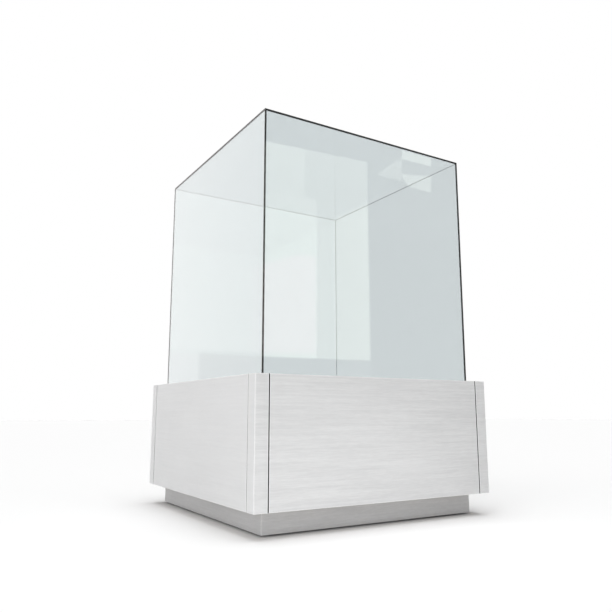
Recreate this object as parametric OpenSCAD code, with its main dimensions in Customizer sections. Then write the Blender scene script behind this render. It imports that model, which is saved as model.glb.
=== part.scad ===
// Pedestal display case: a square panelled plinth on a recessed kick base, a glass hood
// that lifts off, and a push-to-open door to the store inside the plinth.
// Millimetres. The origin is on the floor under the middle of the case, +Z is up, and the
// door faces -Y. The hood is shown lowered, the door closed and the feet wound in.

/* [Plinth] */
// Width and depth of the plinth
plinth_w = 800; // [600:10:1000]
// Height of the plinth's top face above the floor
plinth_h = 400; // [320:10:1000]
// Height of the lower edge of the panels above the floor
body_z = 64; // [55:1:120]
// Thickness of the side panels, corner posts and door
panel_t = 18; // [16:1:22]
// Width of each face of a corner post
post_face = 40; // [36:1:46]
// Gap at each seam between a corner post and the panel beside it
seam_gap = 3.5; // [2:0.5:5]
// Radius on the outer edge of a corner post
post_arris = 2; // [0.5:0.5:3]
// Bevel on the upright front edges of a panel
panel_arris = 1.2; // [0.4:0.2:1.6]

/* [Kick base] */
// How far the kick boards stand back from the faces of the plinth
kick_inset = 43; // [30:1:90]
// Thickness of the kick boards
kick_t = 18; // [16:1:22]
// Gap between the kick boards and the floor
floor_gap = 5; // [1:0.5:8]

/* [Boards inside] */
// Thickness of the floor board
floor_t = 18; // [16:1:22]
// Thickness of the board under the display deck
top_t = 18; // [16:1:22]
// Thickness of the display deck and of the rim rails round it
rim_t = 18; // [16:1:22]
// Gap between the boards and the backs of the panels
board_gap = 0.5; // [0.5:0.25:1.5]

/* [Frame] */
// Outer width of the square steel tube
tube_w = 25; // [20:1:30]
// Wall thickness of the tube
tube_wall = 2; // [1.5:0.5:3]
// Gap between the frame and the backs of the panels
frame_gap = 8; // [6:1:12]
// Height of a spacer block between a corner post and its upright
block_h = 60; // [40:5:80]
// Distance from the ends of an upright to its spacer blocks
block_inset = 30; // [10:5:40]
// Distance from an upright to the end of a panel cleat
cleat_inset = 90; // [40:10:120]
// Height of a panel cleat
cleat_h = 20; // [15:1:25]

/* [Hood] */
// How far the glass stands back from the faces of the plinth
hood_inset = 38; // [36:1:80]
// Height of the glass above the plinth's top face
hood_rise = 730; // [300:10:1000]
// Thickness of the glass
glass_t = 5; // [4:1:10]
// Thickness of the black bond in each mitred edge
bond_t = 1.5; // [0.5:0.25:2]
// Thickness of the bar bonded under the glass
bar_t = 3; // [2:0.5:5]
// How far the bar stands out past each face of the glass
bar_lip = 1; // [0.5:0.5:2]
// Gap between the bar and each wall of its groove
groove_gap = 1; // [0.5:0.25:2]
// Thickness of the gasket in the bottom of the groove
gasket_t = 2; // [1:0.5:4]

/* [Door] */
// Depth of the pivots behind the face of the door
pivot_depth = 7; // [6:0.5:7.5]
// Radius of the pivot pins
pin_r = 2.5; // [2:0.25:3]
// Length of a pivot pin inside the door
pin_len = 16; // [10:1:25]
// Thickness of the pivot plates
plate_t = 3; // [2:0.5:4]
// Radius of the rounded nose of a pivot plate
plate_nose = 5; // [4.5:0.25:5.5]
// Length of a pivot plate's wide part along the door
plate_w = 40; // [34:1:60]
// Depth of a pivot plate's wide part
plate_tail = 12; // [10:0.5:13]
// Wall thickness of the pivot bushes
bush_wall = 1.5; // [1:0.25:1.75]
// Thickness of the flange on a pivot bush
flange_t = 1; // [0.5:0.25:2]

/* [Latch] */
// Width of the latch housing
latch_w = 14; // [12:1:20]
// Height of the latch housing
latch_h = 22; // [18:1:30]
// Length of the latch housing
latch_len = 40; // [38:1:60]
// Radius of the latch plunger
plunger_r = 4; // [3:0.25:5]
// Length of the latch plunger
plunger_len = 30; // [20:1:32]
// How far the plunger can be pressed in
plunger_travel = 3; // [2:0.5:4]
// Thickness of the strike plate on the door
strike_t = 1.5; // [1:0.5:2]
// Radius of a door bumper
bumper_r = 4; // [3:0.5:5]
// Distance from the top and bottom edges of the door to the bumpers
bumper_set = 65; // [50:1:100]

/* [Feet] */
// Distance from a foot's axis to the inner faces of the kick boards
foot_set = 34; // [31:1:60]
// Radius of a foot pad
pad_r = 20; // [15:1:30]
// Height of a foot pad
pad_h = 8; // [6:1:12]
// Radius of the threaded stem
stem_r = 5; // [4:0.5:6]
// Height of the hexagon under the stem
hex_h = 6; // [4:1:8]
// How far a foot can be wound out
foot_travel = 15; // [5:1:20]
// Wall thickness of the threaded insert
insert_wall = 3; // [2:0.5:4]
// Length of thread left in the insert when a foot is wound right out
thread_hold = 21; // [15:1:24]
// Width of the block that holds an insert
foot_block_w = 60; // [40:2:60]

/* [Brackets] */
// Length of each leg of an angle bracket
leg = 25; // [20:1:30]
// Length of an angle bracket along its edge
bracket_len = 40; // [20:1:60]
// Metal thickness of an angle bracket
bracket_t = 2; // [1.5:0.5:3]
// Radius of a screw's shank
screw_r = 1.9; // [1.5:0.1:2.4]
// Radius of a screw's head
screw_head_r = 3.6; // [3:0.2:4.4]
// Height of a screw's head
screw_head_h = 1.6; // [1.2:0.2:2]
// Length of a screw's shank under the bracket
screw_len = 12; // [8:1:14]
// Distance from the inner corners to the middle of a frame bracket
frame_bracket_set = 149; // [100:1:180]
// Distance from the inner corners to the middle of a kick bracket
kick_bracket_set = 158; // [130:1:180]

/* [Hidden] */

$fn = 48;
// Overshoot of a cutting shape past the face that it cuts
past = 1;
// Radial gap of a running or glued round fit
fit_gap = 0.05;
// Gap between faces that pass each other
pass_gap = 0.3;

// Plan distances from the middle of the case to the layers of the plinth
half_w = plinth_w / 2;
skin_in = half_w - panel_t;
board_half = skin_in - board_gap;
frame_half = skin_in - frame_gap;
tube_in = frame_half - tube_w;
kick_out = half_w - kick_inset;
kick_in = kick_out - kick_t;
seam_at = half_w - post_face;
post_in = seam_at + seam_gap / 2;
panel_half = seam_at - seam_gap / 2;

// Plan distances from the middle of the case to the layers of the hood
hood_out = half_w - hood_inset;
hood_in = hood_out - glass_t;
bar_out = hood_out + bar_lip;
bar_in = hood_in - bar_lip;
rim_in = bar_out + groove_gap;
deck_half = bar_in - groove_gap;
// Half of the bond's width where it shows on a face of the glass
bond_half = bond_t / sqrt(2);

// Heights above the floor
floor_top = body_z + floor_t;
rim_z = plinth_h - rim_t;
top_z = rim_z - top_t;
body_h = plinth_h - body_z;
frame_h = top_z - floor_top;
bar_z = rim_z + gasket_t;
glass_z = bar_z + bar_t;
glass_top = plinth_h + hood_rise;
body_mid = (body_z + plinth_h) / 2;

// Door pivots: the hinge edge is as far from the pin as the back face is, so the rounded
// edge turns without reaching behind the door
pivot_edge = panel_t - pivot_depth;
pivot_x = panel_half - pivot_edge;
pivot_y = -half_w + pivot_depth;
bush_r = pin_r + fit_gap + bush_wall;
notch = plate_nose + pass_gap;
plate_front = -board_half + pass_gap;
low_notch_top = body_z + plate_t + flange_t;
high_notch_floor = plinth_h - plate_t - pass_gap - flange_t;
plate_screw_x = plate_w / 2 - screw_head_r - past;
plate_screw_y = plate_front + plate_tail / 2;
plate_screw_len = rim_t - plate_t - past;

// Latch on the inner face of the front left upright
latch_x = -tube_in + latch_w / 2;
latch_front = -frame_half - frame_gap / 2;
plunger_tip = -skin_in + strike_t + pass_gap;
plunger_end = plunger_tip + plunger_len;
bumper_x = -panel_half + bumper_r + panel_arris;
bumper_len = frame_gap - pass_gap;
strike_w = 2 * plunger_r + 4;
strike_h = 3 * strike_w;

// Feet
foot_at = kick_in - foot_set;
insert_r = stem_r + fit_gap + insert_wall;
// Depth of the stem's end below the floor board's top face
stem_sink = 2;
stem_top = floor_top - stem_sink;
insert_z = stem_top - foot_travel - thread_hold;
foot_block_t = body_z - insert_z;
hex_r = stem_r * 1.8;

// Brackets
screw_place = leg * 0.6;
frame_bracket_x = tube_in - frame_bracket_set;
kick_bracket_x = kick_in - kick_bracket_set;

// ---------- shared shapes ----------

// Turns a piece drawn on the front side to side k: 0 front, 1 right, 2 back, 3 left
module on_side(k) {
    rotate([0, 0, 90 * k]) children();
}

// A strip on the front side, mitred at both ends to meet its neighbours
module mitred_strip(out, in, z, h) {
    translate([0, 0, z])
        linear_extrude(h)
            polygon([[-out, -out], [out, -out], [in, -in], [-in, -in]]);
}

// A square board centred on the case
module board(half, z, h) {
    translate([-half, -half, z]) cube([2 * half, 2 * half, h]);
}

// A square tube along +Z from the origin
module tube(len) {
    linear_extrude(len)
        difference() {
            square(tube_w, center = true);
            square(tube_w - 2 * tube_wall, center = true);
        }
}

// An angle bracket in the corner of the planes x = 0 and z = 0
module angle_bracket() {
    rotate([90, 0, 0])
        linear_extrude(bracket_len, center = true)
            difference() {
                square(leg);
                translate([bracket_t, bracket_t]) square(leg);
            }
}

// The two screw axes of an angle bracket, each along -Z from the bracket's outer face
module screw_axes() {
    translate([screw_place, 0, bracket_t]) children();
    translate([bracket_t, 0, screw_place]) rotate([0, 90, 0]) children();
}

// A pan-head screw whose head stands on the plane z = 0
module screw(len) {
    rotate_extrude()
        polygon([[0, -len], [screw_r, -len], [screw_r, 0], [screw_head_r, 0],
                 [screw_head_r, screw_head_h], [0, screw_head_h]]);
}

// The hole that a screw of this length needs
module screw_hole(len) {
    translate([0, 0, -len]) cylinder(r = screw_r + fit_gap, h = len + past);
}

// Places for the brackets that join the rails to the boards above and below
module frame_bracket_places() {
    for (k = [0:3], side = [-1, 1]) {
        on_side(k)
            translate([side * frame_bracket_x, -tube_in, floor_top])
                rotate([0, 0, 90]) children();
        on_side(k)
            translate([side * frame_bracket_x, -tube_in, top_z])
                mirror([0, 0, 1]) rotate([0, 0, 90]) children();
    }
}

// Places for the brackets that join the kick boards to the floor board
module kick_bracket_places() {
    for (k = [0:3], side = [-1, 1])
        on_side(k)
            translate([side * kick_bracket_x, -kick_in, body_z])
                mirror([0, 0, 1]) rotate([0, 0, 90]) children();
}

module frame_screw_holes() {
    frame_bracket_places() screw_axes() screw_hole(screw_len + bracket_t);
}

module kick_screw_holes() {
    kick_bracket_places() screw_axes() screw_hole(screw_len + bracket_t);
}

module bracket_cut() {
    screw_axes() screw_hole(screw_len + bracket_t);
}

// ---------- kick base ----------

module kick_board(k) {
    color("#c9ccce")
        difference() {
            on_side(k) mitred_strip(kick_out, kick_in, floor_gap, body_z - floor_gap);
            kick_screw_holes();
        }
}

module kick_brackets() {
    color("#a8abae")
        kick_bracket_places()
            difference() {
                angle_bracket();
                bracket_cut();
            }
}

// ---------- boards ----------

module foot_places() {
    for (k = [0:3]) on_side(k) translate([-foot_at, -foot_at, 0]) children();
}

module floor_board() {
    color("#8f8a82")
        difference() {
            board(board_half, body_z, floor_t);
            foot_places()
                translate([0, 0, body_z - past])
                    cylinder(r = insert_r + fit_gap, h = floor_t + 2 * past);
            kick_screw_holes();
            frame_screw_holes();
            translate([0, 0, body_z - past]) linear_extrude(plate_t + past) plate_outline();
            plate_screw_places_bottom() screw_hole(plate_t + plate_screw_len);
        }
}

module top_board() {
    color("#8f8a82")
        difference() {
            board(board_half, top_z, top_t);
            frame_screw_holes();
        }
}

module display_deck() {
    color("#e9eae9") board(deck_half, rim_z, rim_t);
}

module rim_rail(k) {
    color("#e4e6e7")
        difference() {
            on_side(k) mitred_strip(board_half, rim_in, rim_z, rim_t);
            translate([0, 0, plinth_h - plate_t]) linear_extrude(plate_t + past) plate_outline();
            plate_screw_places_top() screw_hole(plate_t + plate_screw_len);
        }
}

// ---------- frame ----------

module upright(k) {
    color("#26282a")
        on_side(k)
            translate([-frame_half + tube_w / 2, -frame_half + tube_w / 2, floor_top])
                tube(frame_h);
}

module rails(z) {
    color("#26282a")
        difference() {
            for (k = [0:3])
                on_side(k)
                    translate([-tube_in, -frame_half + tube_w / 2, z + tube_w / 2])
                        rotate([0, 90, 0]) tube(2 * tube_in);
            frame_screw_holes();
        }
}

module frame_brackets() {
    color("#a8abae")
        frame_bracket_places()
            difference() {
                angle_bracket();
                bracket_cut();
            }
}

module bracket_screws() {
    color("#c8cacc") {
        frame_bracket_places() screw_axes() screw(screw_len);
        kick_bracket_places() screw_axes() screw(screw_len);
    }
}

// L-shaped spacers between each upright and its corner post
module post_blocks() {
    color("#a08b6c")
        for (k = [0:3], z = [floor_top + block_inset, top_z - block_inset - block_h])
            on_side(k)
                translate([0, 0, z])
                    linear_extrude(block_h)
                        difference() {
                            polygon([[-skin_in, -skin_in], [-post_in, -skin_in],
                                     [-post_in, -post_in], [-skin_in, -post_in]]);
                            translate([-frame_half, -frame_half]) square(frame_half);
                        }
}

module panel_cleats() {
    cleat_half = tube_in - cleat_inset;
    color("#a8abae")
        for (k = [1:3], z = [floor_top, top_z - tube_w])
            on_side(k)
                translate([-cleat_half, -skin_in, z + (tube_w - cleat_h) / 2])
                    cube([2 * cleat_half, frame_gap, cleat_h]);
}

// ---------- skins ----------

module corner_post(k) {
    color("#dfe2e4")
        on_side(k)
            translate([0, 0, body_z])
                linear_extrude(body_h)
                    difference() {
                        union() {
                            translate([post_arris - half_w, -half_w])
                                square([post_face - seam_gap / 2 - post_arris, post_face]);
                            translate([-half_w, post_arris - half_w])
                                square([post_face, post_face - seam_gap / 2 - post_arris]);
                            translate([post_arris - half_w, post_arris - half_w])
                                circle(r = post_arris);
                        }
                        translate([-skin_in, -skin_in]) square(skin_in);
                        translate([-half_w - past, -post_in]) square(half_w);
                        translate([-post_in, -half_w - past]) square(half_w);
                    }
}

// Outline of a side panel on the front side, with its upright front edges bevelled
module panel_outline() {
    polygon([[-panel_half, -skin_in], [-panel_half, panel_arris - half_w],
             [panel_arris - panel_half, -half_w], [panel_half - panel_arris, -half_w],
             [panel_half, panel_arris - half_w], [panel_half, -skin_in]]);
}

module side_panel(k) {
    color("#dfe2e4")
        on_side(k)
            translate([0, 0, body_z]) linear_extrude(body_h) panel_outline();
}

// ---------- door ----------

module door_outline() {
    difference() {
        panel_outline();
        translate([pivot_x, pivot_y]) square(pivot_edge + past);
    }
    intersection() {
        translate([pivot_x, pivot_y]) circle(r = pivot_edge);
        translate([pivot_x, pivot_y]) square(pivot_edge + past);
    }
}

module door_notch(z, h) {
    translate([pivot_x - notch, pivot_y - notch, z])
        cube([notch + pivot_edge + past, notch + pivot_edge + past, h]);
}

module door_panel() {
    color("#dfe2e4")
        difference() {
            translate([0, 0, body_z]) linear_extrude(body_h) door_outline();
            door_notch(body_z - past, low_notch_top - body_z + past);
            door_notch(high_notch_floor, plinth_h - high_notch_floor + past);
            translate([pivot_x, pivot_y, low_notch_top - past])
                cylinder(r = bush_r + fit_gap, h = pin_len + past);
            translate([pivot_x, pivot_y, high_notch_floor - pin_len])
                cylinder(r = bush_r + fit_gap, h = pin_len + past);
        }
}

// A flanged bush with its flange on the plane z = 0 and its sleeve along +Z
module bush() {
    rotate_extrude()
        polygon([[pin_r + fit_gap, -flange_t], [plate_nose, -flange_t], [plate_nose, 0],
                 [bush_r, 0], [bush_r, pin_len], [pin_r + fit_gap, pin_len]]);
}

module pivot_bushes() {
    color("#f0efe8") {
        translate([pivot_x, pivot_y, low_notch_top]) bush();
        translate([pivot_x, pivot_y, high_notch_floor]) mirror([0, 0, 1]) bush();
    }
}

module pivot_pins() {
    color("#b8babc") {
        translate([pivot_x, pivot_y, body_z]) cylinder(r = pin_r, h = plate_t + pin_len);
        translate([pivot_x, pivot_y, plinth_h - plate_t - pin_len])
            cylinder(r = pin_r, h = plate_t + pin_len);
    }
}

// Outline of a pivot plate: a round nose at the pin, a neck and a wide tail in the board
module plate_outline() {
    translate([pivot_x, pivot_y]) circle(r = plate_nose);
    translate([pivot_x - plate_nose, pivot_y])
        square([2 * plate_nose, plate_front + plate_tail - pivot_y]);
    translate([pivot_x - plate_w / 2, plate_front]) square([plate_w, plate_tail]);
}

// A pivot plate from height z, with its hole for the pin
module pivot_plate(z) {
    difference() {
        translate([0, 0, z]) linear_extrude(plate_t) plate_outline();
        translate([pivot_x, pivot_y, z - past])
            cylinder(r = pin_r + fit_gap, h = plate_t + 2 * past);
    }
}

module plate_screw_places_top() {
    for (side = [-1, 1])
        translate([pivot_x + side * plate_screw_x, plate_screw_y, plinth_h]) children();
}

module plate_screw_places_bottom() {
    for (side = [-1, 1])
        translate([pivot_x + side * plate_screw_x, plate_screw_y, body_z])
            mirror([0, 0, 1]) children();
}

// A screw sunk in a plate, with its flat head level with the plane z = 0
module sunk_screw(gap) {
    translate([0, 0, -screw_head_h]) cylinder(r = screw_head_r + gap, h = screw_head_h);
    translate([0, 0, -plate_t - plate_screw_len])
        cylinder(r = screw_r + gap, h = plate_t + plate_screw_len - screw_head_h);
}

module pivot_plate_bottom() {
    color("#b8babc")
        difference() {
            pivot_plate(body_z);
            plate_screw_places_bottom() sunk_screw(fit_gap);
        }
}

module pivot_plate_top() {
    color("#b8babc")
        difference() {
            pivot_plate(plinth_h - plate_t);
            plate_screw_places_top() sunk_screw(fit_gap);
        }
}

module pivot_screws() {
    color("#c8cacc") {
        plate_screw_places_bottom() sunk_screw(0);
        plate_screw_places_top() sunk_screw(0);
    }
}

// ---------- latch ----------

module latch_housing() {
    color("#3a3c3e")
        difference() {
            translate([latch_x - latch_w / 2, latch_front, body_mid - latch_h / 2])
                cube([latch_w, latch_len, latch_h]);
            translate([latch_x, latch_front - past, body_mid])
                rotate([-90, 0, 0])
                    cylinder(r = plunger_r + 2 * fit_gap,
                             h = plunger_end + plunger_travel + past - latch_front + past);
        }
}

module latch_plunger() {
    color("#e8e8e6")
        translate([latch_x, plunger_tip, body_mid])
            rotate([-90, 0, 0]) cylinder(r = plunger_r, h = plunger_len);
}

module strike_plate() {
    color("#b8babc")
        translate([latch_x - strike_w / 2, -skin_in, body_mid - strike_h / 2])
            cube([strike_w, strike_t, strike_h]);
}

module door_bumpers() {
    color("#303234")
        for (z = [body_z + bumper_set, plinth_h - bumper_set])
            translate([bumper_x, -frame_half, z])
                rotate([90, 0, 0]) cylinder(r = bumper_r, h = bumper_len);
}

// ---------- feet ----------

module foot_blocks() {
    color("#a08b6c")
        difference() {
            foot_places()
                translate([-foot_block_w / 2, -foot_block_w / 2, insert_z])
                    cube([foot_block_w, foot_block_w, foot_block_t]);
            foot_places()
                translate([0, 0, insert_z - past])
                    cylinder(r = insert_r + fit_gap, h = foot_block_t + 2 * past);
        }
}

module foot_inserts() {
    color("#c4a85a")
        foot_places()
            translate([0, 0, insert_z])
                rotate_extrude()
                    translate([stem_r + fit_gap, 0])
                        square([insert_wall, floor_top - insert_z]);
}

module foot_pad(k) {
    color("#2c2e30")
        on_side(k)
            translate([-foot_at, -foot_at, 0])
                rotate_extrude()
                    polygon([[0, 0], [pad_r, 0], [pad_r, pad_h / 2], [hex_r, pad_h],
                             [0, pad_h]]);
}

module foot_stem(k) {
    color("#b8babc")
        on_side(k)
            translate([-foot_at, -foot_at, pad_h]) {
                cylinder(r = hex_r, h = hex_h, $fn = 6);
                cylinder(r = stem_r, h = stem_top - pad_h);
            }
}

// ---------- hood ----------

module hood_gasket() {
    color("#2a2b2c")
        for (k = [0:3]) on_side(k) mitred_strip(bar_out, bar_in, rim_z, gasket_t);
}

module hood_bars() {
    color("#222324")
        for (k = [0:3]) on_side(k) mitred_strip(bar_out, bar_in, bar_z, bar_t);
}

// Extrudes an outline drawn in [y, z] along the whole width of the hood
module along_x() {
    rotate([90, 0, 90]) linear_extrude(2 * hood_out, center = true) children();
}

// The front wall of the hood as seen from its end, with its top edge mitred
module wall_section() {
    polygon([[-hood_out, glass_z], [-hood_out, glass_top - bond_half],
             [-hood_in, glass_top - glass_t - bond_half], [-hood_in, glass_z]]);
}

module pane_wall(k) {
    color("#dce8e6", 0.35)
        on_side(k)
            intersection() {
                translate([0, 0, glass_z])
                    linear_extrude(glass_top - glass_z)
                        polygon([[bond_half - hood_out, -hood_out],
                                 [hood_out - bond_half, -hood_out],
                                 [hood_in - bond_half, -hood_in],
                                 [bond_half - hood_in, -hood_in]]);
                along_x() wall_section();
            }
}

module top_section() {
    polygon([[bond_half - hood_out, glass_top], [hood_out - bond_half, glass_top],
             [hood_in - bond_half, glass_top - glass_t],
             [bond_half - hood_in, glass_top - glass_t]]);
}

module pane_top() {
    color("#dce8e6", 0.35)
        intersection() {
            along_x() top_section();
            on_side(1) along_x() top_section();
        }
}

// Section of a bond between the outer corner [a, a] and the inner corner [b, b]
module bond_section(a, b) {
    polygon([[a, a], [a + bond_half, a], [b, b - bond_half], [b, b], [b - bond_half, b],
             [a, a + bond_half]]);
}

module corner_bonds() {
    color("#121314")
        for (k = [0:3])
            on_side(k)
                intersection() {
                    translate([0, 0, glass_z])
                        linear_extrude(glass_top - glass_z) bond_section(-hood_out, -hood_in);
                    along_x() wall_section();
                    on_side(3) along_x() wall_section();
                }
}

module top_bonds() {
    color("#121314")
        for (k = [0:3])
            on_side(k)
                intersection() {
                    translate([0, 0, glass_top])
                        along_x()
                            mirror([0, 1])
                                translate([-hood_out, 0]) bond_section(0, glass_t);
                    mitred_strip(hood_out, hood_in, glass_top - glass_t, glass_t);
                }
}

// ---------- the case ----------

kick_board(0);  // kick_front
kick_board(1);  // kick_right
kick_board(2);  // kick_back
kick_board(3);  // kick_left
floor_board();
top_board();
display_deck();
rim_rail(0);  // rim_front
rim_rail(1);  // rim_right
rim_rail(2);  // rim_back
rim_rail(3);  // rim_left
upright(0);  // upright_front_left
upright(1);  // upright_front_right
upright(2);  // upright_back_right
upright(3);  // upright_back_left
rails(floor_top);  // bottom_rails
rails(top_z - tube_w);  // top_rails
corner_post(0);  // post_front_left
corner_post(1);  // post_front_right
corner_post(2);  // post_back_right
corner_post(3);  // post_back_left
side_panel(1);  // panel_right
side_panel(2);  // panel_back
side_panel(3);  // panel_left
panel_cleats();
post_blocks();
frame_brackets();
kick_brackets();
bracket_screws();
foot_blocks();
foot_inserts();
hood_gasket();
pivot_plate_bottom();
pivot_plate_top();
pivot_pins();
pivot_screws();
latch_housing();
door_bumpers();
door_panel();
pivot_bushes();
strike_plate();
latch_plunger();
foot_pad(0);  // foot_pad_front_left
foot_pad(1);  // foot_pad_front_right
foot_pad(2);  // foot_pad_back_right
foot_pad(3);  // foot_pad_back_left
foot_stem(0);  // foot_stem_front_left
foot_stem(1);  // foot_stem_front_right
foot_stem(2);  // foot_stem_back_right
foot_stem(3);  // foot_stem_back_left
hood_bars();
pane_wall(0);  // pane_front
pane_wall(1);  // pane_right
pane_wall(2);  // pane_back
pane_wall(3);  // pane_left
pane_top();
corner_bonds();
top_bonds();
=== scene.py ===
"""Looks of the pedestal display case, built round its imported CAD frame.

Metres, origin on the floor under the middle of the case, +Z up, the door faces -Y.
"""

import logging
import math
from dataclasses import dataclass
from enum import Enum
from typing import Callable, Iterable, Mapping, Union

import bmesh
import bpy
from bpy.types import Material, Node, NodeSocket, NodeTree, Object
from mathutils import Matrix, Vector


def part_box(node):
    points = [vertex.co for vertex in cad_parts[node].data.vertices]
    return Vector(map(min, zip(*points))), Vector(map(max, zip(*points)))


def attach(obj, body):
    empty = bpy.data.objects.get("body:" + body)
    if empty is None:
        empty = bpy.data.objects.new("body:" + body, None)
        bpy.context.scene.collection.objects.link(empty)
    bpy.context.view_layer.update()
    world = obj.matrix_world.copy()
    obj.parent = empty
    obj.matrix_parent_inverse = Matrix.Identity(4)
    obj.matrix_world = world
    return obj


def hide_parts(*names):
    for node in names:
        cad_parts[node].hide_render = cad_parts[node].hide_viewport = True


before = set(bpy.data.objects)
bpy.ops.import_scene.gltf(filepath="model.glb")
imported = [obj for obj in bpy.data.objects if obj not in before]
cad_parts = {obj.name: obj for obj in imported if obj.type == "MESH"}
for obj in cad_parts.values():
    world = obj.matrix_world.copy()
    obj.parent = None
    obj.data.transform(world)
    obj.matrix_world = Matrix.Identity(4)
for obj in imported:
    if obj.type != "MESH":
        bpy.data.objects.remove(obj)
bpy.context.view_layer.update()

LOG = logging.getLogger("display_case")

Feed = Union[NodeSocket, float, int, tuple]
Colour = tuple[float, float, float]
Sockets = dict[str, Feed]
PointTest = Callable[[Vector], bool]
FaceTest = Callable[[Vector, Vector], bool]

SIDES = ("front", "right", "back", "left")
CORNERS = ("front_left", "front_right", "back_right", "back_left")
X, Y, Z = Vector((1, 0, 0)), Vector((0, 1, 0)), Vector((0, 0, 1))
STRAIGHT = 0.9  # share of a normal along an axis, from which its face is square to it
MERGE = 0.00001  # distance within which points are merged
PAST = 0.01  # how far a cutter reaches past what it cuts
BLUNT, ROUND = 50.0, 35.0  # least fold that is eased, greatest fold that is shaded round


class Body(Enum):
    """The moving bodies of the case, by their names in the frame; each foot has its own."""

    PLINTH = "plinth"
    DOOR = "door"
    LATCH = "latch"
    HOOD = "hood"
    FOOT = "foot_{}"


class Slot(Enum):
    """The material slots of the case, by their names in the record."""

    PANEL = "white_panel"
    KICK = "white_kick"
    DECK = "white_deck"
    FIBRE = "fibre_board"
    PLY = "plywood"
    BLACK_STEEL = "black_steel"
    ZINC = "zinc_steel"
    SCREW = "screw_steel"
    PIVOT = "pivot_steel"
    BRASS = "insert_brass"
    FOAM = "black_foam"
    DARK_PLASTIC = "dark_plastic"
    NYLON = "white_nylon"
    RUBBER = "bumper_rubber"
    FOOT_PLASTIC = "foot_plastic"
    FOOT_STEEL = "foot_steel"
    BAR = "black_bar"
    GLASS = "clear_glass"
    BOND = "black_bond"


# ---------------------------------------------------------------- node trees


def opaque(colour: Feed) -> Feed:
    """A colour with its alpha; a socket stays as it is."""
    return colour if isinstance(colour, NodeSocket) else (*colour, 1.0)


class Graph:
    """A node tree that is filled one node at a time."""

    def __init__(self, tree: NodeTree) -> None:
        """Keeps the tree, emptied."""
        self.tree = tree
        tree.nodes.clear()

    def add(self, kind: str, feeds: dict | None = None, **settings: object) -> Node:
        """Adds a node, sets it up and feeds its sockets.

        Args:
            kind: the node's type name.
            feeds: what goes into each input, by name or index: a socket or a constant.
            settings: values of the node's own properties.

        Returns:
            The new node.
        """
        made = self.tree.nodes.new(kind)
        for name, value in settings.items():
            setattr(made, name, value)
        for key, value in (feeds or {}).items():
            if isinstance(value, NodeSocket):
                self.tree.links.new(value, made.inputs[key])
            else:
                made.inputs[key].default_value = value
        return made

    def math(self, operation: str, a: Feed, b: Feed) -> NodeSocket:
        """One arithmetic step on two values."""
        return self.add("ShaderNodeMath", {0: a, 1: b}, operation=operation).outputs[0]

    def plus(self, a: Feed, b: Feed) -> NodeSocket:
        """The sum of two values."""
        return self.math("ADD", a, b)

    def times(self, a: Feed, b: Feed) -> NodeSocket:
        """The product of two values."""
        return self.math("MULTIPLY", a, b)

    def over(self, a: Feed, b: Feed) -> NodeSocket:
        """One value divided by another."""
        return self.math("DIVIDE", a, b)

    def vector(self, operation: str, a: Feed, b: Feed) -> NodeSocket:
        """One step on two vectors that gives a vector."""
        return self.add("ShaderNodeVectorMath", {0: a, 1: b}, operation=operation).outputs[0]

    def dot(self, a: Feed, b: Feed) -> NodeSocket:
        """How far two directions agree: 1 where they are the same."""
        node = self.add("ShaderNodeVectorMath", {0: a, 1: b}, operation="DOT_PRODUCT")
        return node.outputs["Value"]

    def split(self, vector: Feed) -> list[NodeSocket]:
        """The three numbers of a vector."""
        return list(self.add("ShaderNodeSeparateXYZ", {0: vector}).outputs)

    def join(self, x: Feed, y: Feed, z: Feed) -> NodeSocket:
        """A vector of three numbers."""
        return self.add("ShaderNodeCombineXYZ", {0: x, 1: y, 2: z}).outputs[0]

    def mix(self, share: Feed, low: Feed, high: Feed) -> NodeSocket:
        """A colour between two colours: a share of 0 gives low and 1 gives high."""
        feeds = {0: share, 6: opaque(low), 7: opaque(high)}
        return self.add("ShaderNodeMix", feeds, data_type="RGBA").outputs[2]

    def span(
        self, value: Feed, low: Feed, high: Feed, start: Feed = 0.0, end: Feed = 1.0,
        way: str = "SMOOTHSTEP",
    ) -> NodeSocket:
        """Maps the range from low to high onto the one from start to end, smoothly or not."""
        feeds = {0: value, 1: low, 2: high, 3: start, 4: end}
        return self.add("ShaderNodeMapRange", feeds, interpolation_type=way).outputs[0]

    def noise(self, vector: Feed, scale: Feed, detail: float, rough: float = 0.5) -> NodeSocket:
        """A fractal noise, 0 to 1: blobs per metre, octaves and how strong the finer ones are."""
        feeds = {"Vector": vector, "Scale": scale, "Detail": detail, "Roughness": rough}
        return self.add("ShaderNodeTexNoise", feeds).outputs[0]

    def stretch(self, vector: Feed, scale: tuple[float, ...]) -> NodeSocket:
        """A vector scaled along each axis."""
        return self.add("ShaderNodeMapping", {0: vector, 3: scale}).outputs[0]

    def bump(self, height: Feed, distance: float, strength: float = 1.0) -> NodeSocket:
        """A bumped normal, where a height of 1 stands out by a distance in metres."""
        feeds = {"Height": height, "Distance": distance, "Strength": strength}
        return self.add("ShaderNodeBump", feeds).outputs[0]

    def place(self) -> NodeSocket:
        """The point of the surface in the object's own metres."""
        return self.add("ShaderNodeTexCoord").outputs["Object"]

    def normal(self) -> NodeSocket:
        """The direction that the surface faces."""
        return self.add("ShaderNodeNewGeometry").outputs["Normal"]


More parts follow.
